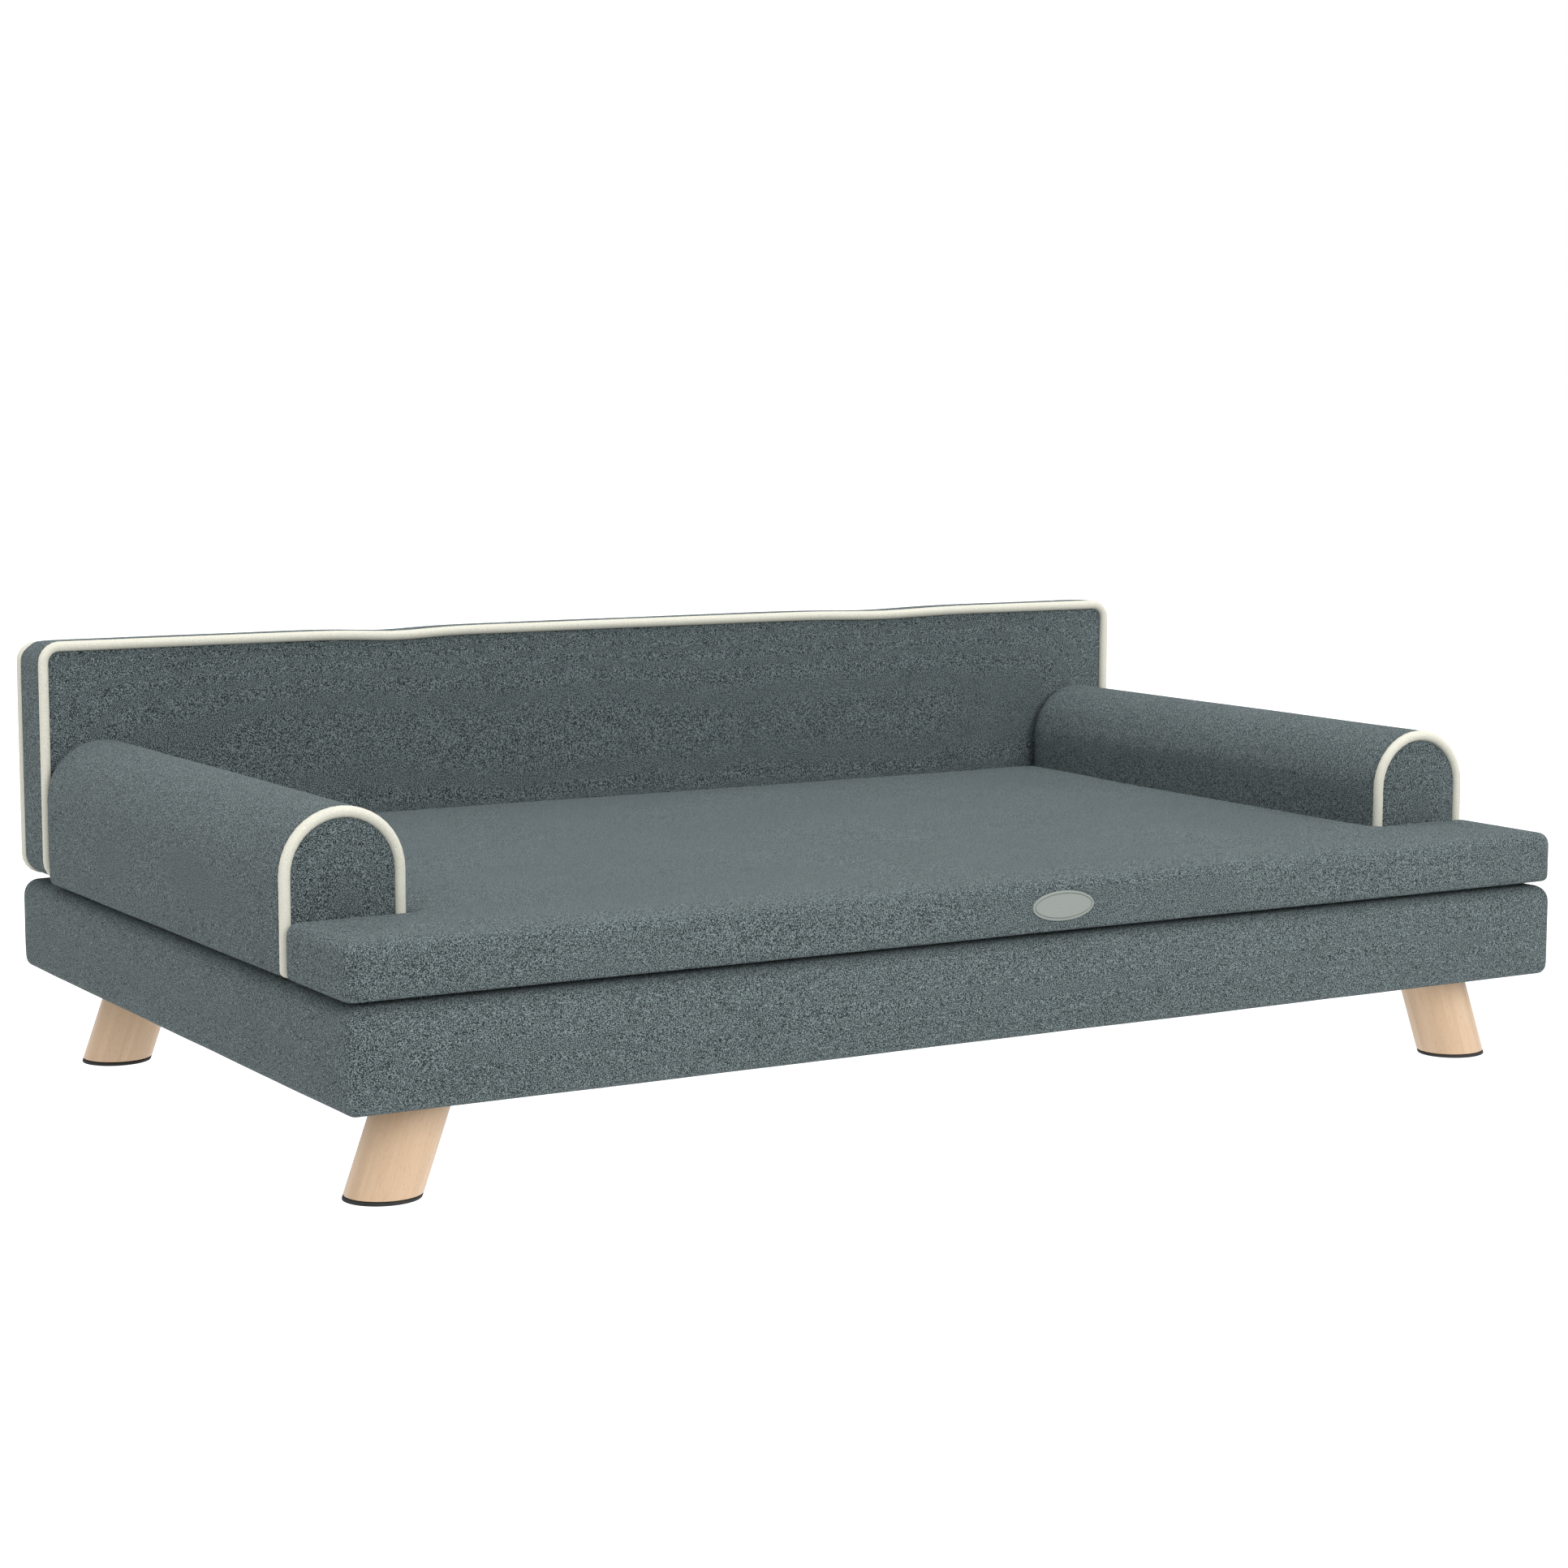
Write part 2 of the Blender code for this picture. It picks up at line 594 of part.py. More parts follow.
def zip_block(name, middle_x, length, front, rear, middle_z, height, finish, corner=0):
    """A block of the zip, from its middle, length and height, and its front and rear faces."""
    low = (middle_x - length / 2, front, middle_z - height / 2)
    high = (middle_x + length / 2, rear, middle_z + height / 2)
    return block(name, low, high, finish, axis=1, corner=corner)


def build_zip():
    """Two tapes behind the opening, each with a coil along its inner edge, and a slider over both coils."""
    tape_rear = CUSHION_REAR - LINING
    tape_front = tape_rear - TAPE_THICKNESS
    coil_middle = (tape_rear + tape_front) / 2
    coil_front = coil_middle - COIL_THICKNESS / 2
    coil_rear = coil_middle + COIL_THICKNESS / 2
    tapes = []
    for row, sign in (("upper", 1), ("lower", -1)):
        level = ZIP_Z + sign * (TAPE_PARTING + TAPE_WIDTH) / 2
        tape = zip_block("zip_tape_" + row, 0, ZIP_LENGTH, tape_front, tape_rear, level, TAPE_WIDTH, ZIP_GREY)
        level = ZIP_Z + sign * (TAPE_PARTING + COIL_WIDTH) / 2
        coil = zip_block("zip_coil_" + row, 0, ZIP_LENGTH, coil_front, coil_rear, level, COIL_WIDTH, None)
        combine(tape, coil, "UNION")
        tapes.append(tape)

    face = coil_rear + GAP
    back = coil_front - GAP
    slider = zip_block("zip_slider", SLIDER_X, SLIDER_LENGTH, face, face + SLIDER_PLATE, ZIP_Z, SLIDER_HEIGHT, STEEL)
    inner = zip_block("slider_back", SLIDER_X, SLIDER_LENGTH, back - SLIDER_PLATE, back, ZIP_Z, SLIDER_HEIGHT, None)
    web_length = SLIDER_LENGTH - 2 * SLIDER_PLATE
    web = zip_block("slider_web", SLIDER_X, web_length, back - GAP, face + GAP, ZIP_Z, SLIDER_WEB, None)
    post_rear = face + SLIDER_PLATE + POST_SIZE
    post = zip_block("slider_post", POST_X, POST_SIZE, face + GAP, post_rear, ZIP_Z, POST_SIZE, None)
    for piece in (web, inner, post):
        combine(slider, piece, "UNION")

    front = face + SLIDER_PLATE + GAP
    rear = front + PULL_THICKNESS
    pull = zip_block("zip_pull", PULL_X, PULL_LENGTH, front, rear, ZIP_Z, PULL_HEIGHT, STEEL, PULL_CORNER)
    cut(pull, zip_block("pull_eye", POST_X, PULL_EYE, front - GAP, rear + GAP, ZIP_Z, PULL_EYE, None))
    joint_frame("zip_travel", (SLIDER_X, tape_rear, ZIP_Z), [slider, pull])
    return tapes


def build_badge():
    """An oval plate with a bevelled rim, standing on its edge on the cushion's front face."""
    shape = bmesh.new()
    bmesh.ops.create_cone(shape, cap_ends=True, segments=48, radius1=0.5, radius2=0.5, depth=BADGE_THICKNESS)
    bmesh.ops.scale(shape, vec=(BADGE_LENGTH, BADGE_HEIGHT, 1), verts=shape.verts)
    bmesh.ops.rotate(shape, verts=shape.verts, matrix=Matrix.Rotation(math.pi / 2, 3, "X"))
    front_rim = [edge for edge in shape.edges if all(vert.co.y < 0 for vert in edge.verts)]
    bmesh.ops.bevel(shape, geom=front_rim, offset=EDGE_BREAK, segments=1, affect="EDGES")
    middle_y = CUSHION_FRONT - GAP - BADGE_THICKNESS / 2
    return add_shape("badge", shape, (BADGE_X, middle_y, BADGE_Z), BADGE_GREY)


def build_cushion():
    cover = cushion_body("cushion_cover", 0, FABRIC_GREY)
    hollow = cushion_body("cushion_hollow", FABRIC, None)
    rear = CUSHION_REAR + CUT_BEYOND
    opening = zip_block("zip_opening", 0, ZIP_LENGTH, CUSHION_REAR - CUT_SKIN, rear, ZIP_Z, ZIP_OPENING, None)
    cut(cover, hollow, opening)
    foam = cushion_body("cushion_foam", LINING, FOAM)
    groove_length = ZIP_LENGTH + 2 * ZIP_GROOVE_END
    groove_height = TAPE_PARTING + 2 * (TAPE_WIDTH + GAP)
    groove_front = CUSHION_REAR - ZIP_GROOVE_DEPTH
    cut(foam, zip_block("zip_groove", 0, groove_length, groove_front, rear, ZIP_Z, groove_height, None))
    tapes = build_zip()
    joint_frame("cushion_lift", (0, 0, CUSHION_BOTTOM), [cover, foam, build_badge(), *tapes])


def build_bed():
    build_base()
    build_legs()
    for side, sign in SIDES.items():
        build_arm(side, sign)
    build_back()
    build_cushion()
    for (side, end), place in ARM_BOLTS.items():
        build_bolt("arm_bolt_" + side + "_" + end, place, ARM_BOLT_TOP)
    for side, place in BACK_BOLTS.items():
        build_bolt("back_bolt_" + side, place, BACK_BOLT_TOP)


build_bed()
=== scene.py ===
# %% [markdown]
# # A sofa-style dog bed
#
# An upholstered box on four splayed beech legs carries two armrests and a
# backrest, all trimmed with cream piping, and a loose T-shaped seat cushion
# lies between them.  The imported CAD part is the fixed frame: its wood and steel
# stay as they are, and the soft pieces and the fine details are modelled here.

# %% Load the frame
import math
import bmesh
import bpy
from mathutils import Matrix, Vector


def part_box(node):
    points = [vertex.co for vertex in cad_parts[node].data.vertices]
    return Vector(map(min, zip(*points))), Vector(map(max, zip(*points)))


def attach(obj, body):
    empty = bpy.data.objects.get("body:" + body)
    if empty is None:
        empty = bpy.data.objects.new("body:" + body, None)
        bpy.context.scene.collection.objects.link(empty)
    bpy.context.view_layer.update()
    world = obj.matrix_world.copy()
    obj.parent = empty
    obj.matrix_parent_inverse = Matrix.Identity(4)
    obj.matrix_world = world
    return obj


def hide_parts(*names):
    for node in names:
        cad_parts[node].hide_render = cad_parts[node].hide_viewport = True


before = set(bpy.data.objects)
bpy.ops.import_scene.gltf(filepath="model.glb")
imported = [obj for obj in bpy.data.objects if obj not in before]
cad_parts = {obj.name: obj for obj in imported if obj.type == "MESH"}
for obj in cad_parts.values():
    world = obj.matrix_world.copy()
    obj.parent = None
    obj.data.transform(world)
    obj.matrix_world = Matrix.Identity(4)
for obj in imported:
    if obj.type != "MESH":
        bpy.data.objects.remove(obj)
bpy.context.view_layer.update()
scene = bpy.context.scene

# %% [markdown]
# ## Working by hand, in code
#
# Every piece starts as a primitive at its own size and place, and is then shaped
# in edit mode.  An operator acts on all that is selected, so each step first
# selects its faces or edges by where they are or which way they look.

# %% Small helpers for selecting and shaping
X_AXIS, Y_AXIS, Z_AXIS = range(3)
NEAR = 1e-5
PARALLEL = 0.99
CREASE = 0.3
CREASE_ANGLE = math.radians(35)
MERGE_DISTANCE = 0.0001


def take(piece):
    """Make one piece the only selected one and the active one."""
    bpy.ops.object.select_all(action="DESELECT")
    piece.select_set(True)
    bpy.context.view_layer.objects.active = piece
    return piece


def edit(piece):
    take(piece)
    bpy.ops.object.mode_set(mode="EDIT")


def done():
    bpy.ops.object.mode_set(mode="OBJECT")


def settle(piece):
    """Put the object's origin at the world's, with its place in its mesh."""
    take(piece)
    bpy.ops.object.transform_apply(location=True, rotation=True, scale=True)
    return piece


def add_box(name, low, high):
    low, high = Vector(low), Vector(high)
    bpy.ops.mesh.primitive_cube_add(size=1, location=(low + high) / 2)
    box = bpy.context.active_object
    box.name = name
    box.scale = high - low
    return settle(box)


def choose(test, kind="EDGE"):
    """In edit mode, select only the faces, edges or corners that pass a test."""
    bpy.ops.mesh.select_mode(type=kind)
    bpy.ops.mesh.select_all(action="DESELECT")
    mesh = bpy.context.active_object.data
    shape = bmesh.from_edit_mesh(mesh)
    parts = {"FACE": shape.faces, "EDGE": shape.edges, "VERT": shape.verts}[kind]
    picked = 0
    for part in parts:
        if test(part):
            part.select_set(True)
            picked += 1
    shape.select_flush_mode()
    bmesh.update_edit_mesh(mesh)
    return picked


def runs_along(axis):
    """A test for edges that run along one axis."""
    return lambda edge: abs((edge.verts[1].co - edge.verts[0].co).normalized()[axis]) > PARALLEL


def looks_along(axis, way):
    """A test for faces that look straight along one axis, up it (way 1) or down it (way -1)."""
    return lambda face: face.normal[axis] * way > PARALLEL


def creased(edge):
    """A test for edges between two faces that meet at a clear angle."""
    return edge.calc_face_angle(0) > CREASE


def rim_at(axis, level):
    """A test for the edges round a flat face at one level of an axis."""
    def test(edge):
        flat = all(abs(corner.co[axis] - level) < NEAR for corner in edge.verts)
        return flat and creased(edge)
    return test


def round_off(test, width, steps):
    choose(test)
    bpy.ops.mesh.bevel(offset=width, segments=steps, profile=0.5, affect="EDGES")


def slice_up(axis, low, high, count):
    """Cut the whole piece at even steps along one axis, for faces of an even size."""
    for step in range(1, count):
        slice_at(axis, low + (high - low) * step / count)


def slice_at(axis, level):
    point, normal = [0, 0, 0], [0, 0, 0]
    point[axis], normal[axis] = level, 1
    bpy.ops.mesh.select_all(action="SELECT")
    bpy.ops.mesh.bisect(plane_co=point, plane_no=normal)


def mark_seam(test):
    """Mark the edges where two parts of a cover are sewn together."""
    choose(test)
    bpy.ops.mesh.mark_seam(clear=False)


def clean():
    """Merge doubles and turn all faces outwards."""
    bpy.ops.mesh.select_all(action="SELECT")
    bpy.ops.mesh.remove_doubles(threshold=MERGE_DISTANCE)
    bpy.ops.mesh.normals_make_consistent(inside=False)


# %% [markdown]
# ## Padding
#
# Foam under a sewn cover pushes the cloth out between its seams.  Blender's Cloth
# with pressure does the same to a slightly smaller shape.  The seams are held
# still, nothing may move further than a few millimetres, and the shape is then
# flat only where it rests on a neighbour.

# %% Swelling, softening and resting
PRESSURE = 4
SWELL_FRAMES = 20
HELD_BAND = 0.001
WAVER_HEIGHT = 0.0006
WAVER_WIDTH = 0.10


def swell(piece, held, reach):
    """Blow a piece up with cloth pressure.

    Seams and held points stay.  The others keep only what moved them outward,
    and no more than reach of it.
    """
    take(piece)
    start = [corner.co.copy() for corner in piece.data.vertices]
    outward = [corner.normal.copy() for corner in piece.data.vertices]
    sewn = {i for edge in piece.data.edges if edge.use_seam for i in edge.vertices}
    group = piece.vertex_groups.new(name="held")
    group.add([i for i, place in enumerate(start) if i in sewn or held(place)], 1.0, "REPLACE")
    bpy.ops.object.modifier_add(type="CLOTH")
    cloth = piece.modifiers[-1]
    cloth.settings.vertex_group_mass = group.name
    cloth.settings.use_pressure = True
    cloth.settings.uniform_pressure_force = PRESSURE
    cloth.settings.effector_weights.gravity = 0
    for moment in range(1, SWELL_FRAMES + 1):
        scene.frame_set(moment)
    bpy.ops.object.modifier_apply(modifier=cloth.name)
    furthest = 0
    for corner, place, normal in zip(piece.data.vertices, start, outward):
        rise = max(0, (corner.co - place).dot(normal))
        furthest = max(furthest, rise)
        corner.co = place + normal * reach * math.tanh(rise / reach)
    scene.frame_set(1)
    piece.vertex_groups.clear()
    print(piece.name, "swelled by up to", round(furthest * 1000, 1), "mm before the limit")


def apply_modifier(piece, kind, **settings):
    take(piece)
    bpy.ops.object.modifier_add(type=kind)
    modifier = piece.modifiers[-1]
    for name, value in settings.items():
        setattr(modifier, name, value)
    bpy.ops.object.modifier_apply(modifier=modifier.name)


def refine(piece):
    """Subdivide a piece once, which also rounds it."""
    apply_modifier(piece, "SUBSURF", levels=1, render_levels=1)


def waver(piece):
    """Give a padded surface the low, soft unevenness of hand-filled work."""
    lumps = bpy.data.textures.new(piece.name + "_lumps", "CLOUDS")
    lumps.noise_scale = WAVER_WIDTH
    lumps.noise_depth = 1
    apply_modifier(piece, "DISPLACE", texture=lumps, texture_coords="LOCAL",
                   strength=WAVER_HEIGHT, mid_level=0.5)


def rest_against(piece, axis, level, side, where=lambda place: True):
    """Flatten what would go past a neighbour's face, which is above (side 1) or below (side -1)."""
    for corner in piece.data.vertices:
        if where(corner.co) and (corner.co[axis] - level) * side > 0:
            corner.co[axis] = level


def use(piece, finish, body, slot, *stands_for):
    """Give a finished piece its finish and its body, and hide the CAD nodes it stands for.  The slot is
    not used.
    """
    piece.data.materials.clear()
    piece.data.materials.append(finish)
    take(piece)
    bpy.ops.object.shade_smooth()
    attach(piece, body)
    if stands_for:
        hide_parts(*stands_for)
    print(piece.name, "has", len(piece.data.polygons), "faces")


def keep_crisp(piece):
    """Shade a hard piece smooth except where its faces meet at a clear angle."""
    take(piece)
    bpy.ops.object.shade_smooth_by_angle(angle=CREASE_ANGLE)


# %% [markdown]
# ## Finishes
#
# Each finish is a Principled shader fed by noise in the piece's own coordinates.

# %% A short way to wire nodes
def new_finish(name, roughness, metallic=0.0, more=()):
    """A new material, with its node tree and its shader, whose further inputs are in more."""
    made = bpy.data.materials.new(name)
    made.use_nodes = True
    shader = made.node_tree.nodes["Principled BSDF"]
    for socket, value in {"Roughness": roughness, "Metallic": metallic, **dict(more)}.items():
        shader.inputs[socket].default_value = value
    return made, made.node_tree, shader


def node(tree, kind, inputs=(), **settings):
    """Add a node, set its properties, and fill its inputs with values or links."""
    made = tree.nodes.new(kind)
    for name, value in settings.items():
        setattr(made, name, value)
    for name, value in dict(inputs).items():
        if isinstance(value, bpy.types.NodeSocket):
            tree.links.new(value, made.inputs[name])
        else:
            made.inputs[name].default_value = value
    return made


def placed(tree, turn=(0, 0, 0), stretch=(1, 1, 1)):
    """The piece's own coordinates, so that a pattern is stretched on each axis and then turned."""
    here = node(tree, "ShaderNodeTexCoord").outputs["Object"]
    inputs = {"Vector": here, "Rotation": turn, "Scale": stretch}
    return node(tree, "ShaderNodeMapping", inputs, vector_type="TEXTURE").outputs["Vector"]


def grain(tree, where, scale, detail=2.0, rough=0.5):
    """Noise from 0 to 1, at so many waves to the metre."""
    inputs = {"Vector": where, "Scale": scale, "Detail": detail, "Roughness": rough}
    return node(tree, "ShaderNodeTexNoise", inputs).outputs["Fac"]


def ramp(tree, value, stops):
    """Colours along a value, from (position, colour) stops."""
    made = node(tree, "ShaderNodeValToRGB", {"Fac": value})
    points = made.color_ramp.elements
    while len(points) < len(stops):
        points.new(0.5)
    for point, (position, colour) in zip(points, stops):
        point.position = position
        point.color = (*colour, 1)
    return made.outputs["Color"]


def sums(tree, operation, first, second, third=None):
    """A sum or a product of values and links."""
    made = node(tree, "ShaderNodeMath", operation=operation)
    for socket, value in zip(made.inputs, (first, second, third)):
        if isinstance(value, bpy.types.NodeSocket):
            tree.links.new(value, socket)
        elif value is not None:
            socket.default_value = value
    return made.outputs["Value"]


def raise_by(tree, shader, height, distance, strength):
    """Let a height show as relief."""
    inputs = {"Height": height, "Distance": distance, "Strength": strength}
    made = node(tree, "ShaderNodeBump", inputs)
    tree.links.new(made.outputs["Normal"], shader.inputs["Normal"])


# %% [markdown]
# The cover is a grey-teal melange: light and dark yarns twisted together, so
# that it is speckled at the size of a stitch, and the speckle comes and goes in
# patches a thumb wide.

# %% Melange fabric
FABRIC_DARK = (0.008, 0.011, 0.013)
FABRIC_MID = (0.052, 0.068, 0.071)
FABRIC_LIGHT = (0.213, 0.264, 0.272)
FABRIC_TONES = [(0.22, FABRIC_DARK), (0.50, FABRIC_MID), (0.80, FABRIC_LIGHT)]
FABRIC_SURFACE = {"Sheen Weight": 0.10, "Sheen Tint": (0.78, 0.94, 0.97, 1), "Sheen Roughness": 0.5,
                  "Specular IOR Level": 0.2}
SLUB = 0.0026
YARN = 0.0007
PATCH = 0.016
SHADE = 0.070
FLECK_CONTRAST = 2.0
PATCH_CONTRAST = 5.8
SLUB_SHARE = 0.34
SHADE_SHARE = 0.08
MEAN_LEVEL = 0.49
YARN_RELIEF = 0.0009


def melange(name):
    """Flecks of yarn, stronger in some patches, on slubs and broad shades that lighten or darken."""
    made, tree, shader = new_finish(name, 0.95, more=FABRIC_SURFACE)
    here = placed(tree)
    fleck = grain(tree, here, 1 / YARN, detail=3.0, rough=0.6)
    slub = grain(tree, here, 1 / SLUB, detail=1.0)
    patch = grain(tree, here, 1 / PATCH, detail=1.0)
    shade = grain(tree, here, 1 / SHADE, detail=2.0)
    swing = sums(tree, "SUBTRACT", fleck, 0.5)
    strength = sums(tree, "MULTIPLY_ADD", patch, PATCH_CONTRAST, FLECK_CONTRAST)
    lowest = MEAN_LEVEL - (SLUB_SHARE + SHADE_SHARE) / 2
    level = sums(tree, "MULTIPLY_ADD", slub, SLUB_SHARE, lowest)
    level = sums(tree, "MULTIPLY_ADD", shade, SHADE_SHARE, level)
    value = sums(tree, "MULTIPLY_ADD", swing, strength, level)
    tree.links.new(ramp(tree, value, FABRIC_TONES), shader.inputs["Base Color"])
    raise_by(tree, shader, value, YARN_RELIEF, 0.7)
    return made


FABRIC = melange("grey_teal_melange")
print("Made", FABRIC.name)

# %% [markdown]
# The piping is a cord in a plain cream cloth, finer and smoother than the cover.

# %% Cream piping cloth
CREAM = (0.558, 0.552, 0.482)
CREAM_SHADE = (0.452, 0.442, 0.374)
CREAM_TONES = [(0.30, CREAM_SHADE), (0.65, CREAM)]
CREAM_THREAD = 0.0008
CREAM_RELIEF = 0.0003

PIPING, cream_tree, cream_shader = new_finish("cream_piping_cloth", 0.85, more={"Specular IOR Level": 0.2})
weave = grain(cream_tree, placed(cream_tree), 1 / CREAM_THREAD)
cream_tree.links.new(ramp(cream_tree, weave, CREAM_TONES), cream_shader.inputs["Base Color"])
raise_by(cream_tree, cream_shader, weave, CREAM_RELIEF, 0.5)
print("Made", PIPING.name)

# %% [markdown]
# Beech has a fine straight grain with short dark pores along it.  The legs lean,
# so the pattern leans with them: one finish for each side of the bed.

# %% Woods
LEAN = math.radians(20)
BEECH_PALE = (0.535, 0.384, 0.252)
BEECH_DARK = (0.440, 0.298, 0.184)
PORE = (0.350, 0.205, 0.110)
BAND = 0.009
BAND_STRETCH = 16
PORE_WIDTH = 0.0007
PORE_STRETCH = 5
PORE_SHARE = 0.55
PORE_MARKS = [(0.27, (1, 1, 1)), (0.36, (0, 0, 0))]
WOOD_RELIEF = 0.0002


def wood(name, pale, dark, turn, axis, roughness):
    """Straight-grained wood with its grain on one axis."""
    made, tree, shader = new_finish(name, roughness)
    long, short = [1, 1, 1], [1, 1, 1]
    long[axis], short[axis] = BAND_STRETCH, PORE_STRETCH
    bands = grain(tree, placed(tree, turn, long), 1 / BAND, detail=4.0, rough=0.6)
    pores = grain(tree, placed(tree, turn, short), 1 / PORE_WIDTH, detail=1.0)
    body = ramp(tree, bands, [(0.30, dark), (0.68, pale)])
    marks = sums(tree, "MULTIPLY", ramp(tree, pores, PORE_MARKS), PORE_SHARE)
    mix = node(tree, "ShaderNodeMix", {"Factor": marks}, data_type="RGBA")
    tree.links.new(body, mix.inputs["A"])
    mix.inputs["B"].default_value = (*PORE, 1)
    tree.links.new(mix.outputs["Result"], shader.inputs["Base Color"])
    raise_by(tree, shader, bands, WOOD_RELIEF, 0.3)
    return made


BEECH = {side: wood("beech_" + side, BEECH_PALE, BEECH_DARK, (0, sign * LEAN, 0), Z_AXIS, 0.42)
         for side, sign in (("left", 1), ("right", -1))}
PINE_PALE = (0.70, 0.52, 0.32)
PINE_DARK = (0.58, 0.38, 0.20)
PINE = wood("pine_along", PINE_PALE, PINE_DARK, (0, 0, 0), X_AXIS, 0.7)
PINE_ACROSS = wood("pine_across", PINE_PALE, PINE_DARK, (0, 0, 0), Y_AXIS, 0.7)
PLY_PALE = (0.64, 0.48, 0.31)
PLY_DARK = (0.52, 0.36, 0.21)
PLYWOOD = wood("birch_plywood", PLY_PALE, PLY_DARK, (0, 0, 0), X_AXIS, 0.75)

# %% [markdown]
# Metal parts are zinc-plated steel, a little cloudy.  The badge is a satin plate.
# The dust cover under the base and the pads under the legs are black.

# %% Metal, black cloth and zip
def cloudy(name, dark, light, scale, roughness, metallic=0.0, relief=0.0001):
    """A plain finish with a soft unevenness of colour and surface."""
    made, tree, shader = new_finish(name, roughness, metallic)
    clouds = grain(tree, placed(tree), scale, detail=3.0)
    tree.links.new(ramp(tree, clouds, [(0.3, dark), (0.7, light)]), shader.inputs["Base Color"])
    raise_by(tree, shader, clouds, relief, 0.5)
    return made


STEEL = cloudy("zinc_plated_steel", (0.52, 0.52, 0.54), (0.66, 0.66, 0.67), 300, 0.35, 1.0, 0.00005)
BADGE_FACE = cloudy("satin_badge", (0.168, 0.188, 0.172), (0.198, 0.220, 0.202), 900, 0.5, 0.0, 0.00002)
BLACK_SHEET = cloudy("black_dust_cover", (0.012, 0.012, 0.013), (0.030, 0.030, 0.032), 900, 0.9)
BLACK_PAD = cloudy("black_foot_pad", (0.008, 0.008, 0.009), (0.018, 0.018, 0.019), 600, 0.8)
ZIP_CLOTH = cloudy("zip_tape_cloth", (0.070, 0.085, 0.088), (0.120, 0.140, 0.145), 1400, 0.85)
ZIP_NYLON = cloudy("zip_nylon", (0.10, 0.12, 0.125), (0.16, 0.185, 0.19), 500, 0.45)
print("Finishes:", sorted(made.name for made in bpy.data.materials))

# %% [markdown]
# ## The base
#
# A wooden box with a thin wadding, wrapped in the melange.  The fabric is pulled
# round the rails, so the four sides swell a little and every edge is soft.  The
# top stays flat where the cushion and the armrests press on it and rolls down
# towards its rim, which leaves a dark groove below them.  The underside ends as
# a hem that the black dust cover laps over.

# %% Base upholstery
EDGE_STEPS = 4
BASE_EDGE = 0.011
BASE_CORNER = 0.008
BASE_HEM_EDGE = 0.007
BASE_SWELL = 0.0045
RIM_DROP = 0.0042
RIM_WIDTH = 0.030
HEM_DROOP = 0.0017
HEM_WIDTH = 0.015
HEM_HEIGHT = 0.012
BASE_SLICES = (60, 38, 5)

base_low, base_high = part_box("base_cover")
base = add_box("base_upholstery", base_low, base_high)
edit(base)
round_off(runs_along(Z_AXIS), BASE_CORNER, EDGE_STEPS)
round_off(rim_at(Z_AXIS, base_high.z), BASE_EDGE, EDGE_STEPS)
round_off(rim_at(Z_AXIS, base_low.z), BASE_HEM_EDGE, EDGE_STEPS)
for axis, count in enumerate(BASE_SLICES):
    slice_up(axis, base_low[axis], base_high[axis], count)
clean()
done()


def base_held(place):
    """The top and the underside, which the deck and the rails keep flat."""
    return min(place.z - base_low.z, base_high.z - place.z) < HELD_BAND


swell(base, base_held, BASE_SWELL)
refine(base)
waver(base)
rest_against(base, Z_AXIS, base_high.z, 1)
rest_against(base, Z_AXIS, base_low.z, -1)

# %% Let the rim roll down and the hem hang
for corner in base.data.vertices:
    inward = min(base_high.x - abs(corner.co.x), base_high.y - abs(corner.co.y))
    height = min(1, max(0, (corner.co.z - base_low.z) / (base_high.z - base_low.z)))
    hem = min(1, max(0, (HEM_WIDTH - inward) / (HEM_WIDTH - HEM_HEIGHT / 2)) * 2)
    hem *= max(0, 1 - (corner.co.z - base_low.z) / HEM_HEIGHT)
    rim = max(0, 1 - inward / RIM_WIDTH) * height ** 2
    corner.co.z -= HEM_DROOP * hem + RIM_DROP * rim
use(base, FABRIC, "base", "cover_fabric", "base_cover", "base_top_foam", "base_wadding")

# %% [markdown]
# ## The seat cushion
#
# The cushion is a T: a wide front with an ear before each armrest, and a stem
# between the armrests.  The wide front is a box, and the stem is pulled out of
# its rear side.  It swells on every side but the bottom, where it lies on the
# base, and the rear, where the zip holds it straight.

# %% Cushion shape
CUSHION_CORNER = 0.009
CUSHION_EDGE = 0.0085
CUSHION_FOOT_EDGE = 0.0045
CUSHION_FULLNESS = 0.0012
CUSHION_SWELL = 0.0026
PIPING_GAP = 0.0003
NOTCH_ROUND = 0.004
ZIP_LENGTH = 0.670
ZIP_OPENING = 0.011
ZIP_DEPTH = 0.0018
ZIP_FACE_BAND = 0.003
STEM_CLEARANCE = 0.0015
CUSHION_SLICES = (62, 36)

cushion_low, cushion_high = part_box("cushion_cover")
ear_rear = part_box("arm_piping_left")[0].y - PIPING_GAP
stem_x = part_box("arm_cover_right")[0].x - STEM_CLEARANCE
zip_z = (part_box("zip_tape_upper")[1].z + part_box("zip_tape_lower")[0].z) / 2
front_low = cushion_low - Vector((CUSHION_FULLNESS, CUSHION_FULLNESS, 0))
front_high = Vector((cushion_high.x + CUSHION_FULLNESS, ear_rear, cushion_high.z))
seat = add_box("seat_cushion", front_low, front_high)
edit(seat)
slice_at(X_AXIS, -stem_x)
slice_at(X_AXIS, stem_x)
faces_rear = looks_along(Y_AXIS, 1)
choose(lambda face: faces_rear(face) and abs(face.calc_center_median().x) < stem_x, "FACE")
stem_length = cushion_high.y - front_high.y
bpy.ops.mesh.extrude_region_move(TRANSFORM_OT_translate={"value": (0, stem_length, 0)})


def outer_corner(edge):
    """An upright edge of the T that stands out, at the very front or rear."""
    along = edge.verts[0].co.y
    at_end = along < front_low.y + NEAR or along > cushion_high.y - NEAR
    return runs_along(Z_AXIS)(edge) and at_end and edge.calc_face_angle_signed(0) > CREASE


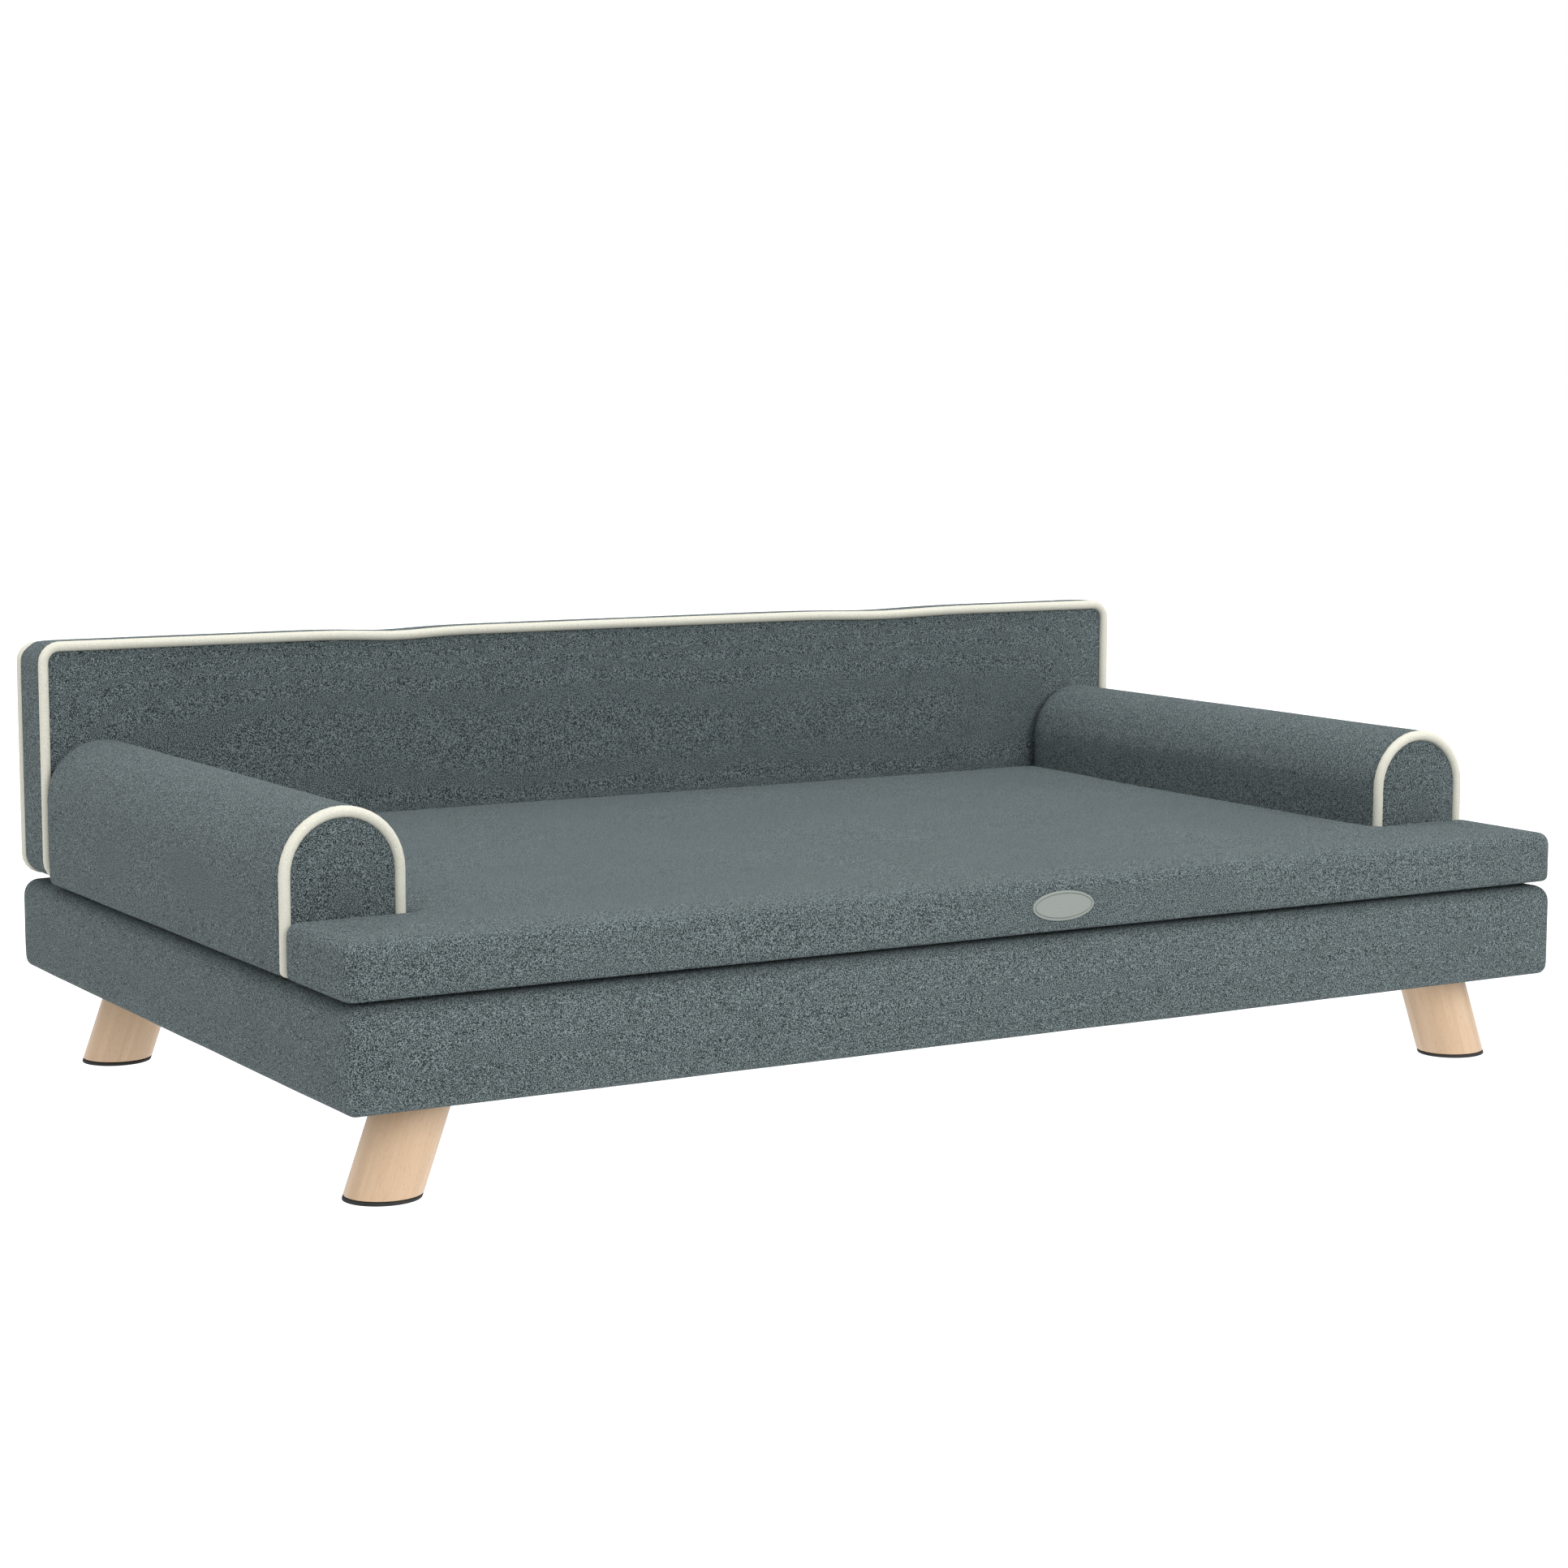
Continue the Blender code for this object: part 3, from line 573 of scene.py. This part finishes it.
def ear_corner(edge):
    """An upright edge at the rear of an ear."""
    place = edge.verts[0].co
    at_ear = abs(place.y - front_high.y) < NEAR and abs(place.x) > front_high.x - NEAR
    return runs_along(Z_AXIS)(edge) and at_ear


def inner_corner(edge):
    """An upright edge in a notch of the T."""
    return runs_along(Z_AXIS)(edge) and edge.calc_face_angle_signed(0) < -CREASE


round_off(outer_corner, CUSHION_CORNER, EDGE_STEPS)
round_off(ear_corner, CUSHION_CORNER, EDGE_STEPS)
round_off(inner_corner, NOTCH_ROUND, EDGE_STEPS)
round_off(rim_at(Z_AXIS, front_high.z), CUSHION_EDGE, EDGE_STEPS)
round_off(rim_at(Z_AXIS, front_low.z), CUSHION_FOOT_EDGE, EDGE_STEPS)
slice_up(X_AXIS, front_low.x, front_high.x, CUSHION_SLICES[0])
slice_up(Y_AXIS, front_low.y, cushion_high.y, CUSHION_SLICES[1])
for level in (zip_z - ZIP_OPENING / 2, zip_z + ZIP_OPENING / 2):
    slice_at(Z_AXIS, level)
for level in (-ZIP_LENGTH / 2, ZIP_LENGTH / 2):
    slice_at(X_AXIS, level)
clean()
done()


# %% Swell the cushion and open it for the zip
def cushion_held(place):
    """The bottom and the rear, which stay straight."""
    return place.z < front_low.z + HELD_BAND or place.y > cushion_high.y - HELD_BAND


swell(seat, cushion_held, CUSHION_SWELL)
waver(seat)
rest_against(seat, Z_AXIS, cushion_low.z, -1)
rest_against(seat, X_AXIS, stem_x, 1, lambda place: place.y > ear_rear)
rest_against(seat, X_AXIS, -stem_x, -1, lambda place: place.y > ear_rear)
rest_against(seat, Y_AXIS, ear_rear, 1, lambda place: abs(place.x) > stem_x)
rest_against(seat, Y_AXIS, cushion_high.y, 1)
edit(seat)


def zip_face(face):
    """A face of the strip on the rear that the zip takes the place of."""
    middle = face.calc_center_median()
    near = abs(middle.x) < ZIP_LENGTH / 2 and abs(middle.z - zip_z) < ZIP_OPENING / 2
    return near and middle.y > cushion_high.y - ZIP_FACE_BAND


choose(zip_face, "FACE")
bpy.ops.mesh.extrude_region_move(TRANSFORM_OT_translate={"value": (0, -ZIP_DEPTH, 0)})
done()
refine(seat)
use(seat, FABRIC, "cushion", "cover_fabric", "cushion_cover", "cushion_foam")

# %% [markdown]
# ## The armrests
#
# Each armrest is a tube with a half-round top, closed at the front by a sewn
# panel.  A box with its two long top edges bevelled by half its width becomes
# the tube, and the panel is made of rings, each smaller and a little further out.
# One armrest is modelled and the other is its mirror image.

# %% Armrest
ARM_STEPS = 10
ARM_FOOT_ROUND = 0.0045
PIPING_RADIUS = 0.0039
PANEL_STEPS = 6
LAST_RING = 0.05
PANEL_CROWN = 0.0034
ARM_SWELL = 0.0018
ARM_FULLNESS = 0.0004
STEM_ROOM = 0.0002
CREST_HALF = 0.0002
ARM_SLICES_UP = 5
ARM_SLICES_ALONG = 34

arm_low, arm_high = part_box("arm_cover_left")
arm_high.z += ARM_FULLNESS
seam_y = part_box("arm_piping_left")[0].y + PIPING_RADIUS
arm_width = arm_high.x - arm_low.x
arm = add_box("armrest_left", (arm_low.x, seam_y, arm_low.z), arm_high)
edit(arm)
runs_back = runs_along(Y_AXIS)
round_off(lambda edge: runs_back(edge) and edge.verts[0].co.z > arm_high.z - NEAR,
          arm_width / 2 - CREST_HALF, ARM_STEPS)
round_off(lambda edge: runs_back(edge) and edge.verts[0].co.z < arm_low.z + NEAR, ARM_FOOT_ROUND, 3)
round_off(rim_at(Y_AXIS, seam_y), PIPING_RADIUS, 2)
choose(looks_along(Y_AXIS, -1), "FACE")
panel_middle = ((arm_low.x + arm_high.x) / 2, seam_y, (arm_low.z + arm_high.z) / 2)
for step in range(PANEL_STEPS):
    size = 1 - step / PANEL_STEPS
    next_size = 1 - (step + 1) / PANEL_STEPS if step + 1 < PANEL_STEPS else LAST_RING
    rise = PANEL_CROWN * (math.sqrt(1 - next_size ** 2) - math.sqrt(1 - size ** 2))
    bpy.ops.mesh.extrude_region_move(TRANSFORM_OT_translate={"value": (0, -rise, 0)})
    shrink = next_size / size
    bpy.ops.transform.resize(value=(shrink, 1, shrink), center_override=panel_middle)
bpy.ops.mesh.poke()
mark_seam(lambda edge: all(abs(corner.co.y - seam_y) < NEAR for corner in edge.verts))
slice_up(Z_AXIS, arm_low.z, arm_high.z - arm_width / 2, ARM_SLICES_UP)
slice_up(Y_AXIS, seam_y + PIPING_RADIUS, arm_high.y, ARM_SLICES_ALONG)
clean()
done()


def arm_held(place):
    """The foot and the rear end of an armrest, where the cloth can't move."""
    return place.z < arm_low.z + HELD_BAND or place.y > arm_high.y - HELD_BAND


swell(arm, arm_held, ARM_SWELL)
waver(arm)
rest_against(arm, X_AXIS, -stem_x - STEM_ROOM, 1)
rest_against(arm, Y_AXIS, ear_rear, -1)
rest_against(arm, Z_AXIS, arm_low.z, -1)


def mirrored(piece, name):
    """The same piece on the other side of the bed, with its own mesh."""
    take(piece)
    bpy.ops.object.duplicate()
    twin = bpy.context.active_object
    twin.name = name
    edit(twin)
    bpy.ops.mesh.select_all(action="SELECT")
    bpy.ops.transform.resize(value=(-1, 1, 1), center_override=(0, 0, 0))
    bpy.ops.mesh.normals_make_consistent(inside=False)
    done()
    return twin


# %% [markdown]
# ## Piping
#
# A sewer lays the piping into the seam before closing it.  Here the edges of the
# seam are copied out of the cover, turned into a curve and given the cord's
# thickness, so that the piping follows the cover wherever it went.

# %% Piping out of a seam
PIPING_ROUND = 3


def piping_from(piece, name, where=lambda place: True, radius=PIPING_RADIUS):
    """Copy the sewn edges of a cover into a round cord of their own."""
    edit(piece)
    count = choose(lambda edge: edge.seam and all(where(corner.co) for corner in edge.verts))
    bpy.ops.mesh.duplicate()
    bpy.ops.mesh.separate(type="SELECTED")
    done()
    cord = [made for made in bpy.context.selected_objects if made is not piece][0]
    cord.name = name
    take(cord)
    bpy.ops.object.convert(target="CURVE")
    cord = bpy.context.active_object
    cord.data.bevel_depth = radius
    cord.data.bevel_resolution = PIPING_ROUND
    bpy.ops.object.convert(target="MESH")
    cord = settle(bpy.context.active_object)
    edit(cord)
    clean()
    done()
    print(name, "follows", count, "seam edges")
    return cord


# %% Both armrests with their piping
arm_piping = piping_from(arm, "armrest_piping_left")
arm_right = mirrored(arm, "armrest_right")
arm_piping_right = mirrored(arm_piping, "armrest_piping_right")
for side, cover, cord in (("left", arm, arm_piping), ("right", arm_right, arm_piping_right)):
    refine(cover)
    use(cover, FABRIC, "base", "cover_fabric", "arm_cover_" + side, "arm_foam_" + side)
    use(cord, PIPING, "base", "piping", "arm_piping_" + side)

# %% [markdown]
# ## The backrest
#
# A firm box cushion stands on the rear of the base: a front and a rear panel with
# rounded corners, a boxing strip between them, and piping in both seams.  The
# panels belly out between the seams.  Along the top the seams aren't quite
# straight: the cloth dips a little in two places, and the rear seam lies lower.

# %% Backrest
BACK_STEPS = 5
BACK_SWELL = 0.0044
STRIP_EDGE = 0.0042
STRIP_STEPS = 12
STRIP_FULLNESS = 0.0026
BACK_CORNER = 0.0125
DIPS = ((-0.205, 0.0022, 0.035), (0.255, 0.0018, 0.050))
REAR_DROP = 0.0032
DIP_START = 0.285
PULL_ROOM = 0.0012
PULL_HEADROOM = 0.004
BACK_SLICES_ACROSS = 60
BACK_SLICES_UP = 10

cord_low, cord_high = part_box("back_piping_front")
front_y = cord_low.y + PIPING_RADIUS
rear_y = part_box("back_piping_rear")[1].y - PIPING_RADIUS
back_low = Vector((cord_low.x + PIPING_RADIUS, front_y, cord_low.z + PIPING_RADIUS))
back_high = Vector((cord_high.x - PIPING_RADIUS, rear_y, cord_high.z - PIPING_RADIUS))
back = add_box("backrest", back_low, back_high)
edit(back)
round_off(runs_along(Y_AXIS), BACK_CORNER, BACK_STEPS)
slice_up(X_AXIS, back_low.x + BACK_CORNER, back_high.x - BACK_CORNER, BACK_SLICES_ACROSS)
slice_up(Z_AXIS, back_low.z + BACK_CORNER, back_high.z - BACK_CORNER, BACK_SLICES_UP)
for level in (back_low.x + BACK_CORNER, back_high.x - BACK_CORNER):
    slice_at(X_AXIS, level)
for level in (back_low.z + BACK_CORNER, back_high.z - BACK_CORNER):
    slice_at(Z_AXIS, level)
slice_up(Y_AXIS, front_y, rear_y, STRIP_STEPS)
clean()
mark_seam(rim_at(Y_AXIS, front_y))
mark_seam(rim_at(Y_AXIS, rear_y))


def on_strip(corner):
    """A corner of the boxing strip, clear of both seams."""
    return front_y + STRIP_EDGE - NEAR < corner.co.y < rear_y - STRIP_EDGE + NEAR


choose(on_strip, "VERT")
bpy.ops.transform.shrink_fatten(value=STRIP_FULLNESS)
choose(lambda corner: on_strip(corner) and corner.co.z > back_high.z, "VERT")
bpy.ops.transform.translate(value=(0, 0, PIPING_RADIUS - STRIP_FULLNESS))
done()
print("Boxing strip reaches x", round(max(corner.co.x for corner in back.data.vertices), 4))


def back_held(place):
    """The foot and the boxing strip, which stay where they are as the panels swell."""
    return place.z < back_low.z + HELD_BAND / 2 or front_y + NEAR < place.y < rear_y - NEAR


swell(back, back_held, BACK_SWELL)
waver(back)


def dip(across):
    """How far the top dips at a place across the bed."""
    return sum(depth * math.exp(-((across - middle) / width) ** 2) for middle, depth, width in DIPS)


def sink(piece):
    """Let the top of the backrest dip, and let its rear lie lower than its front."""
    for corner in piece.data.vertices:
        place = corner.co
        share = min(1, max(0, (place.z - DIP_START) / (back_high.z - DIP_START))) ** 2
        rearward = min(1.0, max(0.0, (place.y - front_y) / (rear_y - front_y)))
        place.z -= share * (dip(place.x) + REAR_DROP * rearward ** 2)


# %% Shape the top, keep clear of the zip pull, and add the piping
pull_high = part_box("zip_pull")[1]
pull_top = pull_high.z + PULL_HEADROOM
rest_against(back, Y_AXIS, pull_high.y + PULL_ROOM, -1, lambda place: place.z < pull_top)
sink(back)
middle_y = (front_y + rear_y) / 2
back_piping_front = piping_from(back, "backrest_piping_front", lambda place: place.y < middle_y)
back_piping_rear = piping_from(back, "backrest_piping_rear", lambda place: place.y > middle_y)
refine(back)
use(back, FABRIC, "base", "cover_fabric", "back_cover", "back_foam")
use(back_piping_front, PIPING, "base", "piping", "back_piping_front")
use(back_piping_rear, PIPING, "base", "piping", "back_piping_rear")

# %% [markdown]
# ## The legs
#
# Round beech legs lean outward along the bed, 20 degrees from upright.  A
# cylinder is drawn out sideways, because a leaning round bar that is cut level
# ends in an oval, and its lower end is then moved outward.  The rims are eased,
# and a thin black pad with a soft edge covers the end on the floor.

# %% Legs and pads
LEG_RADIUS = 0.0245
LEG_SIDES = 64
LEG_EASE = 0.0009
PAD_EASE = 0.0006
LEG_BODIES = {"front_left": "leg_fl", "front_right": "leg_fr",
              "rear_left": "leg_rl", "rear_right": "leg_rr"}


def leaning_bar(name, low, high, lean, across, along, ease):
    """A round bar with level oval ends, its upper end at across and its lower end further by lean."""
    place = (across, along, (low + high) / 2)
    bpy.ops.mesh.primitive_cylinder_add(vertices=LEG_SIDES, radius=LEG_RADIUS, depth=high - low,
                                        location=place)
    bar = settle(bpy.context.active_object)
    bar.name = name
    edit(bar)
    bpy.ops.mesh.select_all(action="SELECT")
    bpy.ops.transform.resize(value=(1 / math.cos(LEAN), 1, 1), center_override=place)
    choose(lambda corner: abs(corner.co.z - low) < NEAR, "VERT")
    bpy.ops.transform.translate(value=(lean, 0, 0))
    round_off(rim_at(Z_AXIS, low), ease, 2)
    round_off(rim_at(Z_AXIS, high), ease, 2)
    clean()
    done()
    return bar


for label, body in LEG_BODIES.items():
    side = label.split("_")[1]
    sign = -1 if side == "left" else 1
    leg_low, leg_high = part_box("leg_" + label)
    pad_low, pad_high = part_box("glide_" + label)
    along = (leg_low.y + leg_high.y) / 2
    half_oval = LEG_RADIUS / math.cos(LEAN)
    outer = leg_low.x if sign < 0 else leg_high.x
    foot_x = outer - sign * half_oval
    top_x = foot_x - sign * (leg_high.z - leg_low.z) * math.tan(LEAN)
    leg = leaning_bar("beech_leg_" + label, leg_low.z, leg_high.z, foot_x - top_x, top_x, along, LEG_EASE)
    use(leg, BEECH[side], body, "leg_wood", "leg_" + label)
    pad_step = sign * (pad_high.z - pad_low.z) * math.tan(LEAN)
    pad_x = foot_x + sign * (leg_low.z - pad_high.z) * math.tan(LEAN)
    pad = leaning_bar("foot_pad_" + label, pad_low.z, pad_high.z, pad_step, pad_x, along, PAD_EASE)
    use(pad, BLACK_PAD, body, "glide_pad", "glide_" + label)
    keep_crisp(leg)
    keep_crisp(pad)

# %% [markdown]
# ## The badge
#
# A small oval plate stands on the front of the cushion.  A fine groove runs
# round it just inside the edge.

# %% Badge
BADGE_SIDES = 96
BADGE_ROUND = 0.0004
GROOVE_INSET = 0.0010
GROOVE_WIDTH = 0.00045
GROOVE_DEPTH = 0.0006

badge_low, badge_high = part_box("badge")
badge_size = badge_high - badge_low
badge_middle = (badge_low + badge_high) / 2


def behind_badge(place):
    """Is a point of the cushion behind the plate?"""
    aside, above = place.x - badge_middle.x, place.z - badge_middle.z
    return abs(aside) < badge_size.x / 2 and abs(above) < badge_size.z / 2


cloth_y = min(corner.co.y for corner in seat.data.vertices if behind_badge(corner.co))
badge_middle.y = cloth_y - badge_size.y / 2
bpy.ops.mesh.primitive_cylinder_add(vertices=BADGE_SIDES, radius=0.5, depth=1, location=badge_middle,
                                    rotation=(math.pi / 2, 0, 0))
badge = bpy.context.active_object
badge.name = "oval_badge"
badge.scale = (badge_size.x, badge_size.z, badge_size.y)
settle(badge)
edit(badge)
round_off(rim_at(Y_AXIS, badge_middle.y - badge_size.y / 2), BADGE_ROUND, 2)
choose(looks_along(Y_AXIS, -1), "FACE")
bpy.ops.mesh.inset(thickness=GROOVE_INSET)
bpy.ops.mesh.inset(thickness=GROOVE_WIDTH, depth=-GROOVE_DEPTH)
bpy.ops.mesh.inset(thickness=GROOVE_WIDTH, depth=GROOVE_DEPTH)
clean()
done()
use(badge, BADGE_FACE, "cushion", "badge_metal", "badge")
keep_crisp(badge)

# %% [markdown]
# ## The zip
#
# A coil zip closes the rear of the cushion: two woven tapes behind the opening,
# each with a row of nylon coils along its inner edge.  One coil is modelled with
# few faces and repeated by an array.

# %% Zip tapes and coils
TAPE_THICKNESS = 0.0008
TAPE_GAP = 0.0004
TAPE_EASE = 0.0002
COIL_PITCH = 0.0014
COIL_WIRE = 0.0008
COIL_HEIGHT = 0.0022
COIL_EASE = 0.00025
TAPE_SLICES = 30

for row, sign in (("upper", 1), ("lower", -1)):
    tape_low, tape_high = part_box("zip_tape_" + row)
    tape_middle = (tape_low.y + tape_high.y) / 2
    inner_z, outer_z = (tape_low.z, tape_high.z) if sign > 0 else (tape_high.z, tape_low.z)
    low_z, high_z = sorted((inner_z + sign * TAPE_GAP, outer_z))
    tape = add_box("zip_cloth_" + row, (tape_low.x, tape_middle - TAPE_THICKNESS / 2, low_z),
                   (tape_high.x, tape_middle + TAPE_THICKNESS / 2, high_z))
    edit(tape)
    slice_up(X_AXIS, tape_low.x, tape_high.x, TAPE_SLICES)
    round_off(lambda edge: runs_along(X_AXIS)(edge) and creased(edge), TAPE_EASE, 1)
    clean()
    done()
    coil_middle_z = inner_z + sign * (COIL_HEIGHT / 2 - TAPE_GAP)
    low = Vector((tape_low.x, tape_low.y, coil_middle_z - COIL_HEIGHT / 2))
    high = Vector((tape_low.x + COIL_WIRE, tape_high.y, coil_middle_z + COIL_HEIGHT / 2))
    coil = add_box("zip_coil_" + row, low, high)
    edit(coil)
    round_off(creased, COIL_EASE, 1)
    clean()
    done()
    count = int((tape_high.x - tape_low.x - COIL_WIRE) / COIL_PITCH)
    apply_modifier(coil, "ARRAY", count=count, use_relative_offset=False, use_constant_offset=True,
                   constant_offset_displace=(COIL_PITCH, 0, 0))
    use(tape, ZIP_CLOTH, "cushion", "zip_tape", "zip_tape_" + row)
    use(coil, ZIP_NYLON, "cushion", "zip_tape")

# %% [markdown]
# ## The dust cover
#
# Black non-woven cloth closes the underside.  It is a single sheet, stapled to
# the rails all round and stretched, so it hangs only a little in the middle.

# %% Dust cover and staples
SHEET_THICKNESS = 0.0008
SHEET_SAG = 0.0015
LEG_STRIP = 0.10
SHEET_MARGIN = 0.02
STAPLE_LENGTH = 0.010
STAPLE_WIRE = 0.0009
STAPLE_EASE = 0.0002
STAPLE_STEP = 0.060
STAPLE_INSET = 0.006
STAPLE_FROM_CORNER = 0.02
STAPLE_DEPTH = 0.2
SHEET_SLICES = (60, 38)

dust_low, dust_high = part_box("dust_cover")
dust_size = dust_high - dust_low
dust_middle = (dust_low + dust_high) / 2
bpy.ops.mesh.primitive_grid_add(x_subdivisions=SHEET_SLICES[0], y_subdivisions=SHEET_SLICES[1], size=1,
                                location=(dust_middle.x, dust_middle.y, dust_high.z))
dust = bpy.context.active_object
dust.name = "black_underside"
dust.scale = (dust_size.x, dust_size.y, 1)
settle(dust)


def sag(distance, half):
    """From 0 at a held edge to 1 over the middle two thirds."""
    return math.sin(math.pi / 2 * min(1, 3 * max(0, 1 - abs(distance) / half)))


for corner in dust.data.vertices:
    share = sag(corner.co.x, dust_high.x - LEG_STRIP) * sag(corner.co.y, dust_high.y - SHEET_MARGIN)
    corner.co.z -= SHEET_SAG * share
apply_modifier(dust, "SOLIDIFY", thickness=SHEET_THICKNESS, offset=-1)
use(dust, BLACK_SHEET, "base", "lining", "dust_cover")


def add_staple(place, turned):
    """A flat crown of wire pressed against the sheet."""
    half = Vector((STAPLE_LENGTH / 2, STAPLE_WIRE / 2, STAPLE_WIRE / 2))
    if turned:
        half = Vector((half.y, half.x, half.z))
    made = add_box("staple", place - half, place + half)
    edit(made)
    round_off(creased, STAPLE_EASE, 1)
    done()
    return made


staples = []
staple_z = dust_low.z + STAPLE_WIRE * STAPLE_DEPTH
edge_x, edge_y = dust_high.x - STAPLE_INSET, dust_high.y - STAPLE_INSET
for turned, half_row, level in ((False, edge_x, edge_y), (True, edge_y, edge_x)):
    row_end = half_row - STAPLE_FROM_CORNER
    count = round(2 * row_end / STAPLE_STEP)
    for step in range(count + 1):
        run = row_end * (2 * step / count - 1)
        for side in (-level, level):
            place = Vector((side, run, staple_z)) if turned else Vector((run, side, staple_z))
            staples.append(add_staple(place, turned))
take(staples[0])
for made in staples:
    made.select_set(True)
bpy.ops.object.join()
stapled = bpy.context.active_object
stapled.name = "underside_staples"
use(stapled, STEEL, "base", "steel")
print("Staples:", len(staples))

# %% [markdown]
# ## The wood and the steel inside
#
# The frame, the boards, the bolts and the zip slider are rigid, so the CAD nodes
# are shown as they are and only get their finishes.

# %% Finishes for the CAD nodes
INNER = {"front_rail": PINE, "rear_rail": PINE, "left_rail": PINE_ACROSS, "right_rail": PINE_ACROSS,
         "cross_rail": PINE_ACROSS, "leg_block": PINE, "back_batten": PINE, "deck_panel": PLYWOOD,
         "arm_board": PLYWOOD, "back_panel": PLYWOOD, "tee_nut": STEEL, "arm_bolt": STEEL,
         "back_bolt": STEEL, "hanger_bolt": STEEL, "zip_slider": STEEL, "zip_pull": STEEL}
for name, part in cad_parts.items():
    finish = next((made for start, made in INNER.items() if name.startswith(start)), None)
    if finish:
        part.data.materials.clear()
        part.data.materials.append(finish)
shown = sorted(name for name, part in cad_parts.items() if not part.hide_render)
print("CAD nodes still shown:", shown)

# %% [markdown]
# ## Floor, light and camera
#
# The bed stands on a plain white floor in soft white light: the sky gives most
# of it, a large lamp above brightens the tops, and one in front and to the right
# leaves the left sides a little darker.

# %% Floor
FLOOR_SIZE = 60
FLOOR_LEVEL = -0.0004
FLOOR_GLOW = 1.30
FLOOR_WHITE = 0.05
FLOOR_SURFACE = {"Base Color": (FLOOR_WHITE, FLOOR_WHITE, FLOOR_WHITE, 1), "Specular IOR Level": 0.0,
                 "Emission Color": (1, 1, 1, 1), "Emission Strength": FLOOR_GLOW}

bpy.ops.mesh.primitive_plane_add(size=FLOOR_SIZE, location=(0, 0, FLOOR_LEVEL))
floor = bpy.context.active_object
floor.name = "studio_floor"
floor.data.materials.append(new_finish("white_floor", 0.9, more=FLOOR_SURFACE)[0])

# %% Sky and lamps
LAMP_SIZE = 3.0

sky = bpy.data.worlds.new("white_sky")
scene.world = sky
sky.use_nodes = True
sky.node_tree.nodes["Background"].inputs["Color"].default_value = (1, 1, 1, 1)
sky.node_tree.nodes["Background"].inputs["Strength"].default_value = 1.0
scene.view_settings.view_transform = "Standard"


def add_lamp(name, place, aim, power):
    """A square area lamp that looks at a point."""
    place, aim = Vector(place), Vector(aim)
    turn = (aim - place).to_track_quat("-Z", "Y").to_euler()
    bpy.ops.object.light_add(type="AREA", location=place, rotation=turn)
    lamp = bpy.context.active_object
    lamp.name = name
    lamp.data.size = LAMP_SIZE
    lamp.data.energy = power


add_lamp("lamp_above", (-0.2, -0.6, 6.0), (0, 0, 0), 205)
add_lamp("lamp_front_right", (0.7, -5.6, 3.0), (0, 0, 0.15), 200)

# %% Camera
CAMERA_PLACE = (-1.2852, -2.1444, 0.5168)
CAMERA_TURN = (83.027, -0.097, -30.941)
CAMERA_LENS = 75.186
SENSOR_WIDTH = 36

camera_data = bpy.data.cameras.new("front_left_view")
camera = bpy.data.objects.new("front_left_view", camera_data)
scene.collection.objects.link(camera)
camera.location = CAMERA_PLACE
camera.rotation_euler = [math.radians(angle) for angle in CAMERA_TURN]
camera_data.lens = CAMERA_LENS
camera_data.sensor_width = SENSOR_WIDTH
scene.camera = camera
